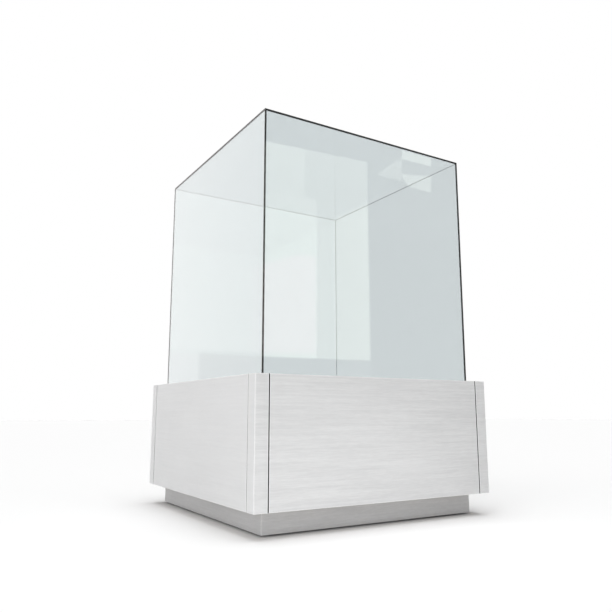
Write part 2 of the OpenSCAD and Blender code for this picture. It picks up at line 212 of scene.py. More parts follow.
class Effect:
    """A shader node group that several materials share."""

    name: str
    sockets_in: dict[str, float]
    sockets_out: tuple[str, ...]

    def __init__(self) -> None:
        """Builds the group once."""
        self.tree = bpy.data.node_groups.new(self.name, "ShaderNodeTree")
        kind = {"socket_type": "NodeSocketFloat"}
        for label, value in self.sockets_in.items():
            socket = self.tree.interface.new_socket(label, in_out="INPUT", **kind)
            socket.default_value = value
        for label in self.sockets_out:
            self.tree.interface.new_socket(label, in_out="OUTPUT", **kind)
        self.graph = Graph(self.tree)
        self.given = self.graph.add("NodeGroupInput")
        self.graph.add("NodeGroupOutput", dict(zip(self.sockets_out, self.wire())))

    def wire(self) -> tuple[NodeSocket, ...]:
        """Fills the group and gives its results, in the order of its outputs."""
        raise NotImplementedError


class LaidGrain(Effect):
    """Wood grain that lies level round the case, whichever side it is on."""

    name = "laid grain"
    sockets_in = {"Length": 0.12, "Line": 0.005, "Seed": 0.0, "Side Strength": 0.4}
    sockets_out = ("Streaks", "Pores", "Clouds")
    row_shift = 3.37
    row_step = 1.71
    layers = ((0.38, 1.0, 2.2, 0.3), (0.34, 0.5, 0.3, 5.1), (0.28, 2.2, 3.0, 9.7))
    pores = (0.16, 0.12, 2.9)

    def rows(self, along: Feed, across: Feed, taller: float, longer: float, shift: float) -> Feed:
        """Level bars of one height, each broken along its length.

        Args:
            along: the place along the grain.
            across: the place across it.
            taller: height of a row in grain lines.
            longer: length of a bar in grain lengths.
            shift: what sets this layer apart from the others.

        Returns:
            The socket of the bars, 0 to 1.
        """
        graph, given = self.graph, self.given.outputs
        row = graph.over(graph.over(across, given["Line"]), taller)
        row = graph.math("FLOOR", graph.plus(row, shift), 0.0)
        run = graph.over(graph.over(along, given["Length"]), longer)
        run = graph.plus(run, graph.times(row, self.row_shift))
        level = graph.plus(graph.times(row, self.row_step), shift)
        spot = graph.join(run, level, given["Seed"])
        return graph.span(graph.noise(spot, scale=1.0, detail=1.0), 0.36, 0.64)

    def wire(self) -> tuple[NodeSocket, ...]:
        """Draws long streaks, short pores and broad clouds.

        Returns:
            The masks of the three.
        """
        graph, given = self.graph, self.given.outputs
        x, y, across = graph.split(graph.place())
        along = graph.plus(x, y)
        facing = graph.math("ABSOLUTE", graph.split(graph.normal())[1], 0.0)
        strength = graph.span(facing, 0.0, 1.0, given["Side Strength"], 1.0, "LINEAR")
        both: Feed = 0.0
        for weight, *layer in self.layers:
            both = graph.plus(both, graph.times(self.rows(along, across, *layer), weight))
        streaks = graph.plus(0.5, graph.times(graph.math("SUBTRACT", both, 0.5), strength))
        pores = graph.span(self.rows(along, across, *self.pores), 0.8, 1.0)
        broad = graph.join(along, across, given["Seed"])
        clouds = graph.span(graph.noise(broad, scale=4.0, detail=2.0), 0.3, 0.7)
        return streaks, graph.times(pores, strength), clouds


class EdgeRubAndHighlight(Effect):
    """Where hands and cloths have rubbed an edge; on the white boards the same mask also lays a
    painted highlight along the edges.
    """

    name = "edge rub"
    sockets_in = {"Radius": 0.0015, "Break": 60.0}
    sockets_out = ("Edge",)

    def wire(self) -> tuple[NodeSocket, ...]:
        """Finds edges by how far a rounded normal turns from the true one.

        Returns:
            The mask of the edges, in patches.
        """
        graph, given = self.graph, self.given.outputs
        rounded = graph.add("ShaderNodeBevel", {"Radius": given["Radius"]}, samples=4)
        edge = graph.span(graph.dot(rounded.outputs[0], graph.normal()), 0.995, 0.86)
        patch = graph.noise(graph.place(), given["Break"], 3.0)
        return (graph.times(edge, graph.span(patch, 0.25, 0.55, 0.25, 1.0)),)


class SettledDust(Effect):
    """Fine dust that lies on what faces up."""

    name = "settled dust"
    sockets_in = {"Amount": 0.1, "Patch": 9.0}
    sockets_out = ("Dust",)

    def wire(self) -> tuple[NodeSocket, ...]:
        """Masks upward faces with soft patches.

        Returns:
            The mask of the dust.
        """
        graph, given = self.graph, self.given.outputs
        upward = graph.span(graph.split(graph.normal())[2], 0.55, 0.95)
        patch = graph.span(graph.noise(graph.place(), given["Patch"], 4.0), 0.3, 0.75)
        return (graph.times(graph.times(upward, patch), given["Amount"]),)


class FineMottle(Effect):
    """An even fine texture, for roughness and for bump."""

    name = "fine mottle"
    sockets_in = {"Grain": 900.0, "Patch": 25.0, "Low": 0.3, "High": 0.5}
    sockets_out = ("Value", "Height")

    def wire(self) -> tuple[NodeSocket, ...]:
        """Adds a fine noise to a broad one.

        Returns:
            The value between Low and High, and the fine noise alone.
        """
        graph, given = self.graph, self.given.outputs
        point = graph.place()
        fine = graph.noise(point, given["Grain"], 2.0)
        half = graph.times(graph.plus(fine, graph.noise(point, given["Patch"], 3.0)), 0.5)
        return graph.span(half, 0.35, 0.65, given["Low"], given["High"], "LINEAR"), fine


@dataclass(frozen=True)
class Effects:
    """The shared effects."""

    grain: LaidGrain
    rub_and_highlight: EdgeRubAndHighlight
    dust: SettledDust
    mottle: FineMottle


class Mixer(Graph):
    """A material's node tree with the shared effects at hand."""

    def __init__(self, tree: NodeTree, effects: Effects | None) -> None:
        """Keeps the tree and the effects."""
        super().__init__(tree)
        self.effects = effects

    def use(self, effect: Effect, **values: Feed) -> Mapping[str, NodeSocket]:
        """Places an effect with its own values, and gives its outputs."""
        feeds = {label.replace("_", " "): value for label, value in values.items()}
        return self.add("ShaderNodeGroup", feeds, node_tree=effect.tree).outputs

    def mottle(
        self, grain: float, patch: float, low: float, high: float
    ) -> Mapping[str, NodeSocket]:
        """A fine texture whose value lies between low and high."""
        return self.use(self.effects.mottle, Grain=grain, Patch=patch, Low=low, High=high)

    def edge(self, radius: float, patch: float = 60.0) -> NodeSocket:
        """The mask of the rubbed edges, which also carries the painted edge highlights."""
        return self.use(self.effects.rub_and_highlight, Radius=radius, Break=patch)["Edge"]

    def dusty(self, tone: Feed, dust: Colour, amount: float, patch: float = 9.0) -> NodeSocket:
        """A tone with dust on what faces up."""
        return self.mix(self.use(self.effects.dust, Amount=amount, Patch=patch)["Dust"], tone, dust)


# ------------------------------------------------------------------ finishes


class Finish:
    """What makes a material: rules for the sockets of one Principled shader."""

    def sockets(self, mixer: Mixer) -> Sockets:
        """Mixes what the shader's sockets take."""
        raise NotImplementedError

    def build(self, name: str, effects: Effects | None = None) -> Material:
        """Makes the material.

        Args:
            name: the material's name.
            effects: the shared effects, if it uses any.

        Returns:
            The new material.
        """
        made = bpy.data.materials.new(name)
        made.use_nodes = True
        mixer = Mixer(made.node_tree, effects)
        shader = mixer.add("ShaderNodeBsdfPrincipled", self.sockets(mixer))
        mixer.add("ShaderNodeOutputMaterial", {"Surface": shader.outputs[0]})
        return made


@dataclass(frozen=True)
class LimedWood(Finish):
    """White stained board whose grain shows as faint level streaks under a satin lacquer."""

    light: Colour = (0.722, 0.724, 0.726)
    dark: Colour = (0.614, 0.616, 0.619)
    # Tone and share of the painted highlight along the edges.
    rub_and_highlight_tone: Colour = (0.95, 0.95, 0.95)
    rub_and_highlight: float = 0.95
    length: float = 0.11
    line: float = 0.0048
    seed: float = 3.7
    side_strength: float = 0.35
    roughness: tuple[float, float] = (0.4, 0.52)
    coat: float = 0.12
    coat_roughness: float = 0.3
    cloud: float = 0.3
    pore: float = 0.18
    pore_depth: float = 0.6
    relief: float = 0.00012
    dust: Colour = (0.6, 0.59, 0.57)

    def sockets(self, mixer: Mixer) -> Sockets:
        """Lays the grain, paints a highlight along the edges in broken patches and settles the
        dust.

        Args:
            mixer: the material's graph.

        Returns:
            What the shader's sockets take.
        """
        size = {"Length": self.length, "Line": self.line, "Seed": self.seed}
        grain = mixer.use(mixer.effects.grain, Side_Strength=self.side_strength, **size)
        tone = mixer.mix(grain["Streaks"], self.dark, self.light)
        tone = mixer.mix(mixer.times(grain["Clouds"], self.cloud), tone, self.light)
        tone = mixer.mix(mixer.times(grain["Pores"], self.pore), tone, self.dark)
        # A wide edge band painted near white: a painted highlight on the arrises, broken into
        # patches.
        edge = mixer.edge(radius=0.0042, patch=12.0)
        tone = mixer.mix(mixer.times(edge, self.rub_and_highlight), tone, self.rub_and_highlight_tone)
        sunk = mixer.times(grain["Pores"], self.pore_depth)
        height = mixer.math("SUBTRACT", grain["Streaks"], sunk)
        return {
            "Base Color": mixer.dusty(tone, self.dust, amount=0.12),
            "Roughness": mixer.mottle(1400.0, 14.0, *self.roughness)["Value"],
            "Normal": mixer.bump(height, self.relief, strength=0.6),
            "Coat Weight": self.coat,
            "Coat Roughness": self.coat_roughness,
        }


@dataclass(frozen=True)
class SmoothLaminate(Finish):
    """A plain satin laminate with the fine peel of a pressed surface."""

    light: Colour = (0.78, 0.78, 0.775)
    dark: Colour = (0.735, 0.735, 0.73)
    rub_and_highlight_tone: Colour = (0.85, 0.85, 0.84)
    dust: Colour = (0.6, 0.59, 0.57)
    roughness: tuple[float, float] = (0.34, 0.46)
    rub_and_highlight: float = 0.4
    peel: float = 0.00004

    def sockets(self, mixer: Mixer) -> Sockets:
        """Mixes two near tones under a fine peel.

        Args:
            mixer: the material's graph.

        Returns:
            What the shader's sockets take.
        """
        mottle = mixer.mottle(650.0, 7.0, *self.roughness)
        share = mixer.span(mixer.noise(mixer.place(), scale=6.0, detail=4.0), 0.35, 0.65)
        tone = mixer.mix(share, self.dark, self.light)
        tone = mixer.mix(mixer.times(mixer.edge(radius=0.001), self.rub_and_highlight), tone, self.rub_and_highlight_tone)
        return {
            "Base Color": mixer.dusty(tone, self.dust, amount=0.1),
            "Roughness": mottle["Value"],
            "Normal": mixer.bump(mottle["Height"], self.peel),
        }


@dataclass(frozen=True)
class RawBoard(Finish):
    """Unfinished board: pressed fibre, or plywood whose plies show as stripes."""

    light: Colour
    dark: Colour
    ply: float = 0.0
    dust: Colour = (0.5, 0.47, 0.42)
    ply_share: float = 0.55
    streak_share: float = 0.4
    streak: tuple[float, float, float] = (14.0, 220.0, 220.0)
    roughness: tuple[float, float] = (0.68, 0.86)
    relief: float = 0.00012

    def sockets(self, mixer: Mixer) -> Sockets:
        """Mixes flecks, and plies where the board has them.

        Args:
            mixer: the material's graph.

        Returns:
            What the shader's sockets take.
        """
        point = mixer.place()
        flecks = mixer.noise(point, scale=420.0, detail=4.0, rough=0.7)
        height = flecks = mixer.span(flecks, 0.3, 0.7)
        tone = mixer.mix(flecks, self.dark, self.light)
        if self.ply:
            band = mixer.math("PINGPONG", mixer.over(mixer.split(point)[2], self.ply), 1.0)
            plies = mixer.span(band, 0.42, 0.58)
            tone = mixer.mix(mixer.times(plies, self.ply_share), tone, self.dark)
            streaks = mixer.noise(mixer.stretch(point, self.streak), scale=1.0, detail=3.0)
            tone = mixer.mix(mixer.times(streaks, self.streak_share), tone, self.dark)
            height = mixer.plus(flecks, plies)
        return {
            "Base Color": mixer.dusty(tone, self.dust, amount=0.18),
            "Roughness": mixer.mottle(500.0, 18.0, *self.roughness)["Value"],
            "Normal": mixer.bump(height, self.relief),
        }


@dataclass(frozen=True)
class PowderCoat(Finish):
    """Baked powder coat with a fine peel, worn to metal on its edges."""

    colour: Colour = (0.012, 0.012, 0.013)
    worn: Colour = (0.2, 0.2, 0.2)
    grain: float = 1100.0
    dust: Colour = (0.3, 0.29, 0.27)
    wear: float = 0.35
    bared: float = 0.7
    roughness: tuple[float, float] = (0.38, 0.56)
    peel: float = 0.00006

    def sockets(self, mixer: Mixer) -> Sockets:
        """Wears the edges and settles the dust.

        Args:
            mixer: the material's graph.

        Returns:
            What the shader's sockets take.
        """
        mottle = mixer.mottle(self.grain, 30.0, *self.roughness)
        worn = mixer.times(mixer.edge(radius=0.001), self.wear)
        tone = mixer.mix(worn, self.colour, self.worn)
        return {
            "Base Color": mixer.dusty(tone, self.dust, amount=0.16),
            "Metallic": mixer.times(worn, self.bared),
            "Roughness": mottle["Value"],
            "Normal": mixer.bump(mottle["Height"], self.peel),
        }


@dataclass(frozen=True)
class BareMetal(Finish):
    """Metal with brush lines and, on zinc, broad crystals."""

    colour: Colour
    dull: Colour
    roughness: tuple[float, float] = (0.26, 0.42)
    brush: tuple[float, float, float] = (40.0, 40.0, 1800.0)
    crystals: float = 0.0
    rub_and_highlight: float = 0.4
    dulled: float = 0.06
    brush_depth: float = 0.00002

    def sockets(self, mixer: Mixer) -> Sockets:
        """Mixes bright and dull metal, and brightens the edges.

        Args:
            mixer: the material's graph.

        Returns:
            What the shader's sockets take.
        """
        point = mixer.place()
        if self.crystals:
            cells = mixer.add("ShaderNodeTexVoronoi", {"Vector": point, "Scale": self.crystals})
            share = mixer.add("ShaderNodeRGBToBW", {0: cells.outputs["Color"]}).outputs[0]
        else:
            share = mixer.span(mixer.noise(point, scale=70.0, detail=4.0), 0.35, 0.7)
        tone = mixer.mix(share, self.dull, self.colour)
        edge = mixer.times(mixer.edge(radius=0.0006, patch=200.0), self.rub_and_highlight)
        value = mixer.mottle(1600.0, 45.0, *self.roughness)["Value"]
        lines = mixer.noise(mixer.stretch(point, self.brush), scale=1.0, detail=2.0)
        return {
            "Base Color": mixer.mix(edge, tone, self.colour),
            "Metallic": 1.0,
            "Roughness": mixer.plus(value, mixer.times(share, self.dulled)),
            "Normal": mixer.bump(lines, self.brush_depth),
        }


@dataclass(frozen=True)
class Moulded(Finish):
    """Moulded plastic, rubber or foam."""

    colour: Colour
    scuffed: Colour
    roughness: tuple[float, float] = (0.42, 0.56)
    grain: float = 1300.0
    depth: float = 0.00005
    rub_and_highlight: float = 0.35
    scuff: float = 0.25
    dust: Colour = (0.42, 0.4, 0.37)

    def sockets(self, mixer: Mixer) -> Sockets:
        """Scuffs the surface and its edges and settles the dust.

        Args:
            mixer: the material's graph.

        Returns:
            What the shader's sockets take.
        """
        mottle = mixer.mottle(self.grain, 35.0, *self.roughness)
        share = mixer.span(mixer.noise(mixer.place(), scale=60.0, detail=4.0), 0.4, 0.8)
        tone = mixer.mix(mixer.times(share, self.scuff), self.colour, self.scuffed)
        edge = mixer.edge(radius=0.0008, patch=150.0)
        tone = mixer.mix(mixer.times(edge, self.rub_and_highlight), tone, self.scuffed)
        return {
            "Base Color": mixer.dusty(tone, self.dust, amount=0.2, patch=40.0),
            "Roughness": mottle["Value"],
            "Normal": mixer.bump(mottle["Height"], self.depth),
        }


@dataclass(frozen=True)
class ClearGlass(Finish):
    """Float glass with its faint green tint and the last haze of a wiped surface."""

    tint: Colour = (0.802, 0.836, 0.844)
    deeper: float = 0.99
    haze: float = 0.012
    ior: float = 1.5

    def sockets(self, mixer: Mixer) -> Sockets:
        """Tints the glass and leaves a haze in patches.

        Args:
            mixer: the material's graph.

        Returns:
            What the shader's sockets take.
        """
        point = mixer.place()
        deep = tuple(part * self.deeper for part in self.tint)
        wiped = mixer.noise(point, scale=5.0, detail=3.0)
        return {
            "Base Color": mixer.mix(mixer.noise(point, scale=1.4, detail=1.0), self.tint, deep),
            "Roughness": mixer.span(wiped, 0.52, 0.8, 0.0, self.haze),
            "IOR": self.ior,
            "Transmission Weight": 1.0,
        }


@dataclass(frozen=True)
class StudioFloor(Finish):
    """The studio's matt floor."""

    tone: float = 0.85

    def sockets(self, mixer: Mixer) -> Sockets:
        """A plain pale matt surface."""
        return {"Base Color": opaque((self.tone,) * 3), "Roughness": 1.0, "Specular IOR Level": 0.0}


FINISHES: dict[Slot, Finish] = {
    Slot.PANEL: LimedWood(),
    # The kick is a darker copy of the panel wood: painted shade under the overhang, with a painted
    # highlight on its edges.
    Slot.KICK: LimedWood(
        (0.555, 0.555, 0.557), (0.455, 0.455, 0.457), (0.8, 0.8, 0.8), 0.7,
        length=0.07, seed=9.1, side_strength=0.8,
    ),
    Slot.DECK: SmoothLaminate(),
    Slot.FIBRE: RawBoard((0.42, 0.3, 0.19), (0.3, 0.205, 0.12)),
    Slot.PLY: RawBoard((0.56, 0.41, 0.25), (0.36, 0.23, 0.12), 0.0017),
    Slot.BLACK_STEEL: PowderCoat(),
    Slot.ZINC: BareMetal((0.72, 0.73, 0.74), (0.5, 0.52, 0.54), (0.34, 0.5), (60.0,) * 3, 260.0),
    Slot.SCREW: BareMetal((0.78, 0.77, 0.74), (0.6, 0.58, 0.52), (0.24, 0.38), (400.0,) * 3),
    Slot.PIVOT: BareMetal((0.72, 0.72, 0.73), (0.56, 0.56, 0.57)),
    Slot.BRASS: BareMetal((0.83, 0.62, 0.28), (0.62, 0.43, 0.18)),
    Slot.FOAM: Moulded((0.012,) * 3, (0.035, 0.034, 0.033), (0.85, 0.95), 2600.0, 0.0003, 0.1),
    Slot.DARK_PLASTIC: Moulded((0.022, 0.023, 0.024), (0.09, 0.09, 0.09)),
    Slot.NYLON: Moulded((0.75, 0.74, 0.69), (0.6, 0.59, 0.54), (0.3, 0.42)),
    Slot.RUBBER: Moulded((0.02, 0.02, 0.021), (0.06, 0.06, 0.06), (0.6, 0.75), 1700.0),
    Slot.FOOT_PLASTIC: Moulded((0.018, 0.019, 0.02), (0.1, 0.1, 0.1), (0.45, 0.6), 800.0, 0.0001),
    Slot.FOOT_STEEL: BareMetal((0.68, 0.69, 0.7), (0.5, 0.51, 0.52), (0.28, 0.42)),
    Slot.BAR: PowderCoat((0.01, 0.01, 0.011), (0.12, 0.12, 0.12), 1500.0),
    Slot.GLASS: ClearGlass(),
    Slot.BOND: Moulded(
        (0.006, 0.006, 0.007), (0.012, 0.012, 0.013), (0.3, 0.42), 1200.0, 0.00002, 0.2
    ),
}


class Palette:
    """The case's materials, by slot."""

    def __init__(self) -> None:
        """Builds the effects and every material once."""
        effects = Effects(LaidGrain(), EdgeRubAndHighlight(), SettledDust(), FineMottle())
        self.materials = {slot: made.build(slot.value, effects) for slot, made in FINISHES.items()}
        # Black paint inside the shadow gaps: painted shade that darkens the seams.
        self.gap_shade_paint = PowderCoat((0.012,) * 3, (0.05,) * 3).build("painted_gap_shade", effects)

    def dress(self, piece: Object, slot: Slot) -> None:
        """Gives a piece its finish, save on the faces that keep the black painted gap shade.

        Args:
            piece: a new piece or a CAD node's object.
            slot: the finish.
        """
        if not piece.data.materials:
            piece.data.materials.append(self.materials[slot])
        for index, worn in enumerate(piece.data.materials):
            if worn != self.gap_shade_paint:
                piece.data.materials[index] = self.materials[slot]

    def paint_gap_shade(self, piece: Object, slot: Slot, test: FaceTest) -> None:
        """Paints black shade on the faces of a piece that stand inside a shadow gap.

        Args:
            piece: the piece, with no material yet.
            slot: the finish of its other faces.
            test: true for the faces inside the gap.
        """
        self.dress(piece, slot)
        piece.data.materials.append(self.gap_shade_paint)
        with Bench(piece) as bench:
            bench.faces(test)
            piece.active_material_index = 1
            bpy.ops.object.material_slot_assign()


# ------------------------------------------------------------------ modelling


def near(a: float, b: float, slack: float = 1e-4) -> bool:
    """Whether two lengths are the same."""
    return abs(a - b) < slack


def move(x: float = 0.0, y: float = 0.0, z: float = 0.0) -> Matrix:
    """A shift."""
    return Matrix.Translation((x, y, z))


def spin(degrees: float, axis: str) -> Matrix:
    """A turn about an axis through the origin."""
    return Matrix.Rotation(math.radians(degrees), 4, axis)


def turn(quarter: int) -> Matrix:
    """The turn from the front side to another one: 0 front, 1 right, 2 back, 3 left."""
    return spin(90 * quarter, "Z")


def middle_of(node: str) -> Vector:
    """The middle of a CAD node's box."""
    return sum(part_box(node), Vector()) / 2


def only(piece: Object) -> None:
    """Selects one object alone and makes it active.

    Args:
        piece: the object.
    """
    bpy.ops.object.select_all(action="DESELECT")
    piece.select_set(True)
    bpy.context.view_layer.objects.active = piece


class Bench:
    """A piece held in edit mode, with ways to pick and to shape parts of it."""

    def __init__(self, piece: Object) -> None:
        """Keeps the piece to edit."""
        self.piece = piece

    def __enter__(self) -> "Bench":
        """Opens edit mode with nothing selected.

        Returns:
            The bench itself.
        """
        only(self.piece)
        bpy.ops.object.mode_set(mode="EDIT")
        bpy.ops.mesh.select_all(action="DESELECT")
        return self

    def __exit__(self, *unused: object) -> None:
        """Closes edit mode."""
        bpy.ops.object.mode_set(mode="OBJECT")

    def pick(self, mode: str, choose: Callable[[bmesh.types.BMesh], Iterable]) -> None:
        """Selects parts of the mesh.

        Args:
            mode: EDGE or FACE.
            choose: gives the parts to select.
        """
        bpy.ops.mesh.select_mode(type=mode)
        bpy.ops.mesh.select_all(action="DESELECT")
        work = bmesh.from_edit_mesh(self.piece.data)
        work.normal_update()
        for part in list(choose(work)):
            part.select_set(True)
        work.select_flush_mode()
        bmesh.update_edit_mesh(self.piece.data)

    def edges(self, test: PointTest = lambda point: True, along: str = "") -> None:
        """Selects edges by their ends and their direction.

        Args:
            test: true for the points that both ends may be.
            along: the axis that the edges run along, or nothing for any direction.
        """
        level = [axis for axis in "xyz" if along and axis != along]

        def chosen(edge: bmesh.types.BMEdge) -> bool:
            """Whether an edge has such ends and such a direction."""
            a, b = (vertex.co for vertex in edge.verts)
            flat = all(near(getattr(a, axis), getattr(b, axis)) for axis in level)
            return flat and test(a) and test(b)

        self.pick("EDGE", lambda work: filter(chosen, work.edges))

    def faces(self, test: FaceTest) -> None:
        """Selects faces by their middle and normal."""
        self.pick(
            "FACE", lambda work: (f for f in work.faces if test(f.calc_center_median(), f.normal))
        )

    def everything(self) -> None:
        """Selects the whole mesh."""
        bpy.ops.mesh.select_all(action="SELECT")

    def cut(self, normal: Vector, at: float = 0.0, drop: bool = False) -> None:
        """Bisects the mesh square to a normal, and may drop and close the side it points at."""
        self.everything()
        bpy.ops.mesh.bisect(plane_co=normal * at, plane_no=normal, use_fill=drop, clear_outer=drop)

    def bevel(self, width: float, segments: int) -> None:
        """Rounds the selected edges."""
        bpy.ops.mesh.bevel(offset=width, offset_type="OFFSET", segments=segments, affect="EDGES")

    def inset(self, width: float) -> None:
        """Draws the selected faces in by a width."""
        bpy.ops.mesh.inset(thickness=width)

    def extrude(self, x: float, y: float, z: float) -> None:
        """Draws the selected faces out by a shift."""
        bpy.ops.mesh.extrude_region_move(TRANSFORM_OT_translate={"value": (x, y, z)})

    def swell(self, by: float) -> None:
        """Draws the selected faces out along their normals."""
        bpy.ops.mesh.extrude_region_shrink_fatten(TRANSFORM_OT_shrink_fatten={"value": by})

    def narrow(self, share: float, height: float) -> None:
        """Narrows what is selected towards the axis, at a height."""
        bpy.ops.transform.resize(value=(share, share, 1), center_override=(0, 0, height))


def started(name: str, scale: Vector = Vector((1, 1, 1))) -> Object:
    """Names and scales the primitive that was just added, with its place in its mesh.

    Args:
        name: the piece's name.
        scale: what it is stretched by.

    Returns:
        The new object, at the origin.
    """
    piece = bpy.context.active_object
    piece.name = piece.data.name = name
    piece.scale = scale
    bpy.ops.object.transform_apply(location=True, rotation=True, scale=True)
    return piece


def block(name: str, low: Vector, high: Vector) -> Object:
    """Starts a piece from a cube stretched between two corners.

    Args:
        name: the piece's name.
        low: lowest corner.
        high: highest corner.

    Returns:
        The new object.
    """
    bpy.ops.object.select_all(action="DESELECT")
    bpy.ops.mesh.primitive_cube_add(size=1.0, location=(low + high) / 2)
    return started(name, high - low)


def rod(
    name: str, radius: float, height: float, sides: int = 32, foot: Vector = Vector()
) -> Object:
    """Starts a piece from an upright cylinder.

    Args:
        name: the piece's name.
        radius: its radius.
        height: its height.
        sides: its sides.
        foot: middle of its lower face.

    Returns:
        The new object.
    """
    bpy.ops.object.select_all(action="DESELECT")
    size = {"vertices": sides, "radius": radius, "depth": height}
    bpy.ops.mesh.primitive_cylinder_add(location=foot + Z * (height / 2), **size)
    return started(name)


def apply_modifier(piece: Object, kind: str, **settings: object) -> None:
    """Adds a modifier and applies it.

    Args:
        piece: the object.
        kind: the modifier's type.
        settings: its values.
    """
    only(piece)
    made = piece.modifiers.new(kind.lower(), kind)
    for name, value in settings.items():
        setattr(made, name, value)
    bpy.ops.object.modifier_apply(modifier=made.name)


def shade(piece: Object, angle: float = 40.0) -> Object:
    """Shades a piece smooth up to an angle, with its flat faces kept flat.

    Args:
        piece: the object.
        angle: the sharpest fold that is shaded smooth, in degrees.

    Returns:
        The same piece.
    """
    only(piece)
    bpy.ops.object.shade_smooth_by_angle(angle=math.radians(angle))
    apply_modifier(piece, "WEIGHTED_NORMAL", mode="FACE_AREA", weight=90, keep_sharp=True)
    return piece


def soften(piece: Object, width: float, segments: int = 2, angle: float = 30.0) -> Object:
    """Rounds every sharp edge a little and shades the piece for it.

    Args:
        piece: the object.
        width: the rounding's width.
        segments: its steps.
        angle: the least fold that counts as an edge, in degrees.

    Returns:
        The same piece.
    """
    limit = {"limit_method": "ANGLE", "angle_limit": math.radians(angle)}
    size = {"width": width, "segments": segments, "use_clamp_overlap": True}
    apply_modifier(piece, "BEVEL", **size, **limit)
    return shade(piece)


def carve(piece: Object, cutter: Object, operation: str = "DIFFERENCE") -> Object:
    """Cuts, joins or crosses a piece with another one, which is used up.

    Args:
        piece: the object.
        cutter: the other object.
        operation: DIFFERENCE, UNION or INTERSECT.

    Returns:
        The same piece.
    """
    apply_modifier(piece, "BOOLEAN", object=cutter, operation=operation, solver="EXACT")
    bpy.data.objects.remove(cutter)
    return piece


def fresh(node: str, name: str) -> Object:
    """A clean copy of a CAD node's mesh, with no seams and no needless edges.

    Args:
        node: the node's name.
        name: the copy's name.

    Returns:
        The new object.
    """
    piece = bpy.data.objects.new(name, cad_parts[node].data.copy())
    piece.data.name = name
    piece.data.materials.clear()
    bpy.context.scene.collection.objects.link(piece)
    with Bench(piece) as bench:
        bench.everything()
        bpy.ops.mesh.remove_doubles(threshold=MERGE)
        bpy.ops.mesh.dissolve_limited(angle_limit=math.radians(1))
    return piece


def fitted(piece: Object, node: str) -> Object:
    """Cuts a plain piece with eased edges to the pockets and holes of a CAD node."""
    return shade(carve(piece, fresh(node, "cutter"), "INTERSECT"))


def lay(piece: Object, place: Matrix) -> Object:
    """Moves a piece within its mesh, and gives it back."""
    piece.data.transform(place)
    return piece


def copy_of(piece: Object, name: str, place: Matrix = Matrix()) -> Object:
    """A copy with its own mesh, moved within its mesh.

    Args:
        piece: the object to copy.
        name: the copy's name.
        place: where it goes.

    Returns:
        The copy.
    """
    made = piece.copy()
    made.data = piece.data.copy()
    made.name = made.data.name = name
    bpy.context.scene.collection.objects.link(made)
    return lay(made, place)


def spread(pattern: Object, name: str, places: list[Matrix]) -> Object:
    """Copies a part to its places, joins the copies and drops the pattern.

    Args:
        pattern: the modelled part.
        name: the name of the result.
        places: where the copies go.

    Returns:
        The joined object.
    """
    first, *others = [copy_of(pattern, f"{name}_{i}", place) for i, place in enumerate(places)]
    only(first)
    for part in others:
        part.select_set(True)
    bpy.ops.object.join()
    first.name = first.data.name = name
    bpy.data.objects.remove(pattern)
    return first


def mitred(name: str, outer: float, inner: float, low: float, high: float) -> Object:
    """A strip along the front side, mitred at both ends.

    Args:
        name: the piece's name.
        outer: distance of its outer face from the middle of the case.
        inner: distance of its inner face.
        low: its lower face.
        high: its upper face.

    Returns:
        The new object.
    """
    piece = block(name, Vector((-outer, -outer, low)), Vector((outer, -inner, high)))
    with Bench(piece) as bench:
        for way in (-1, 1):
            bench.cut(Vector((way, 1, 0)), drop=True)
    return piece


# --------------------------------------------------------------- sub-assemblies


@dataclass
class CrossScrew:
    """A small cross-slotted screw whose head stands on z = 0."""

    length: float = 0.012
    crown: float = 0.55
    head: float = 0.0036
    head_height: float = 0.0016
    shank: float = 0.0019
    point: float = 0.002
    taper: float = 0.35
    slot_reach: float = 0.002
    slot_half: float = 0.00045
    slot_depth: float = 0.001

    def model(self) -> Object:
        """Models the head, its slots, the shank and the point.

        Returns:
            The finished screw.
        """
        top = self.head_height
        piece = rod("screw", self.head, top, 24)
        with Bench(piece) as bench:
            bench.faces(lambda c, n: n.z < -STRAIGHT)
            bench.inset(self.head - self.shank)
            bench.extrude(0, 0, self.point - self.length)
            bench.extrude(0, 0, -self.point)
            bench.narrow(self.taper, -self.length)
            bench.edges(lambda p: near(p.z, top))
            bench.bevel(top * self.crown, 4)
        low = Vector((-self.slot_reach, -self.slot_half, top - self.slot_depth))
        high = Vector((self.slot_reach, self.slot_half, top + self.slot_depth))
        for quarter in range(2):
            carve(piece, lay(block("blade", low, high), turn(quarter)))
        return shade(piece)


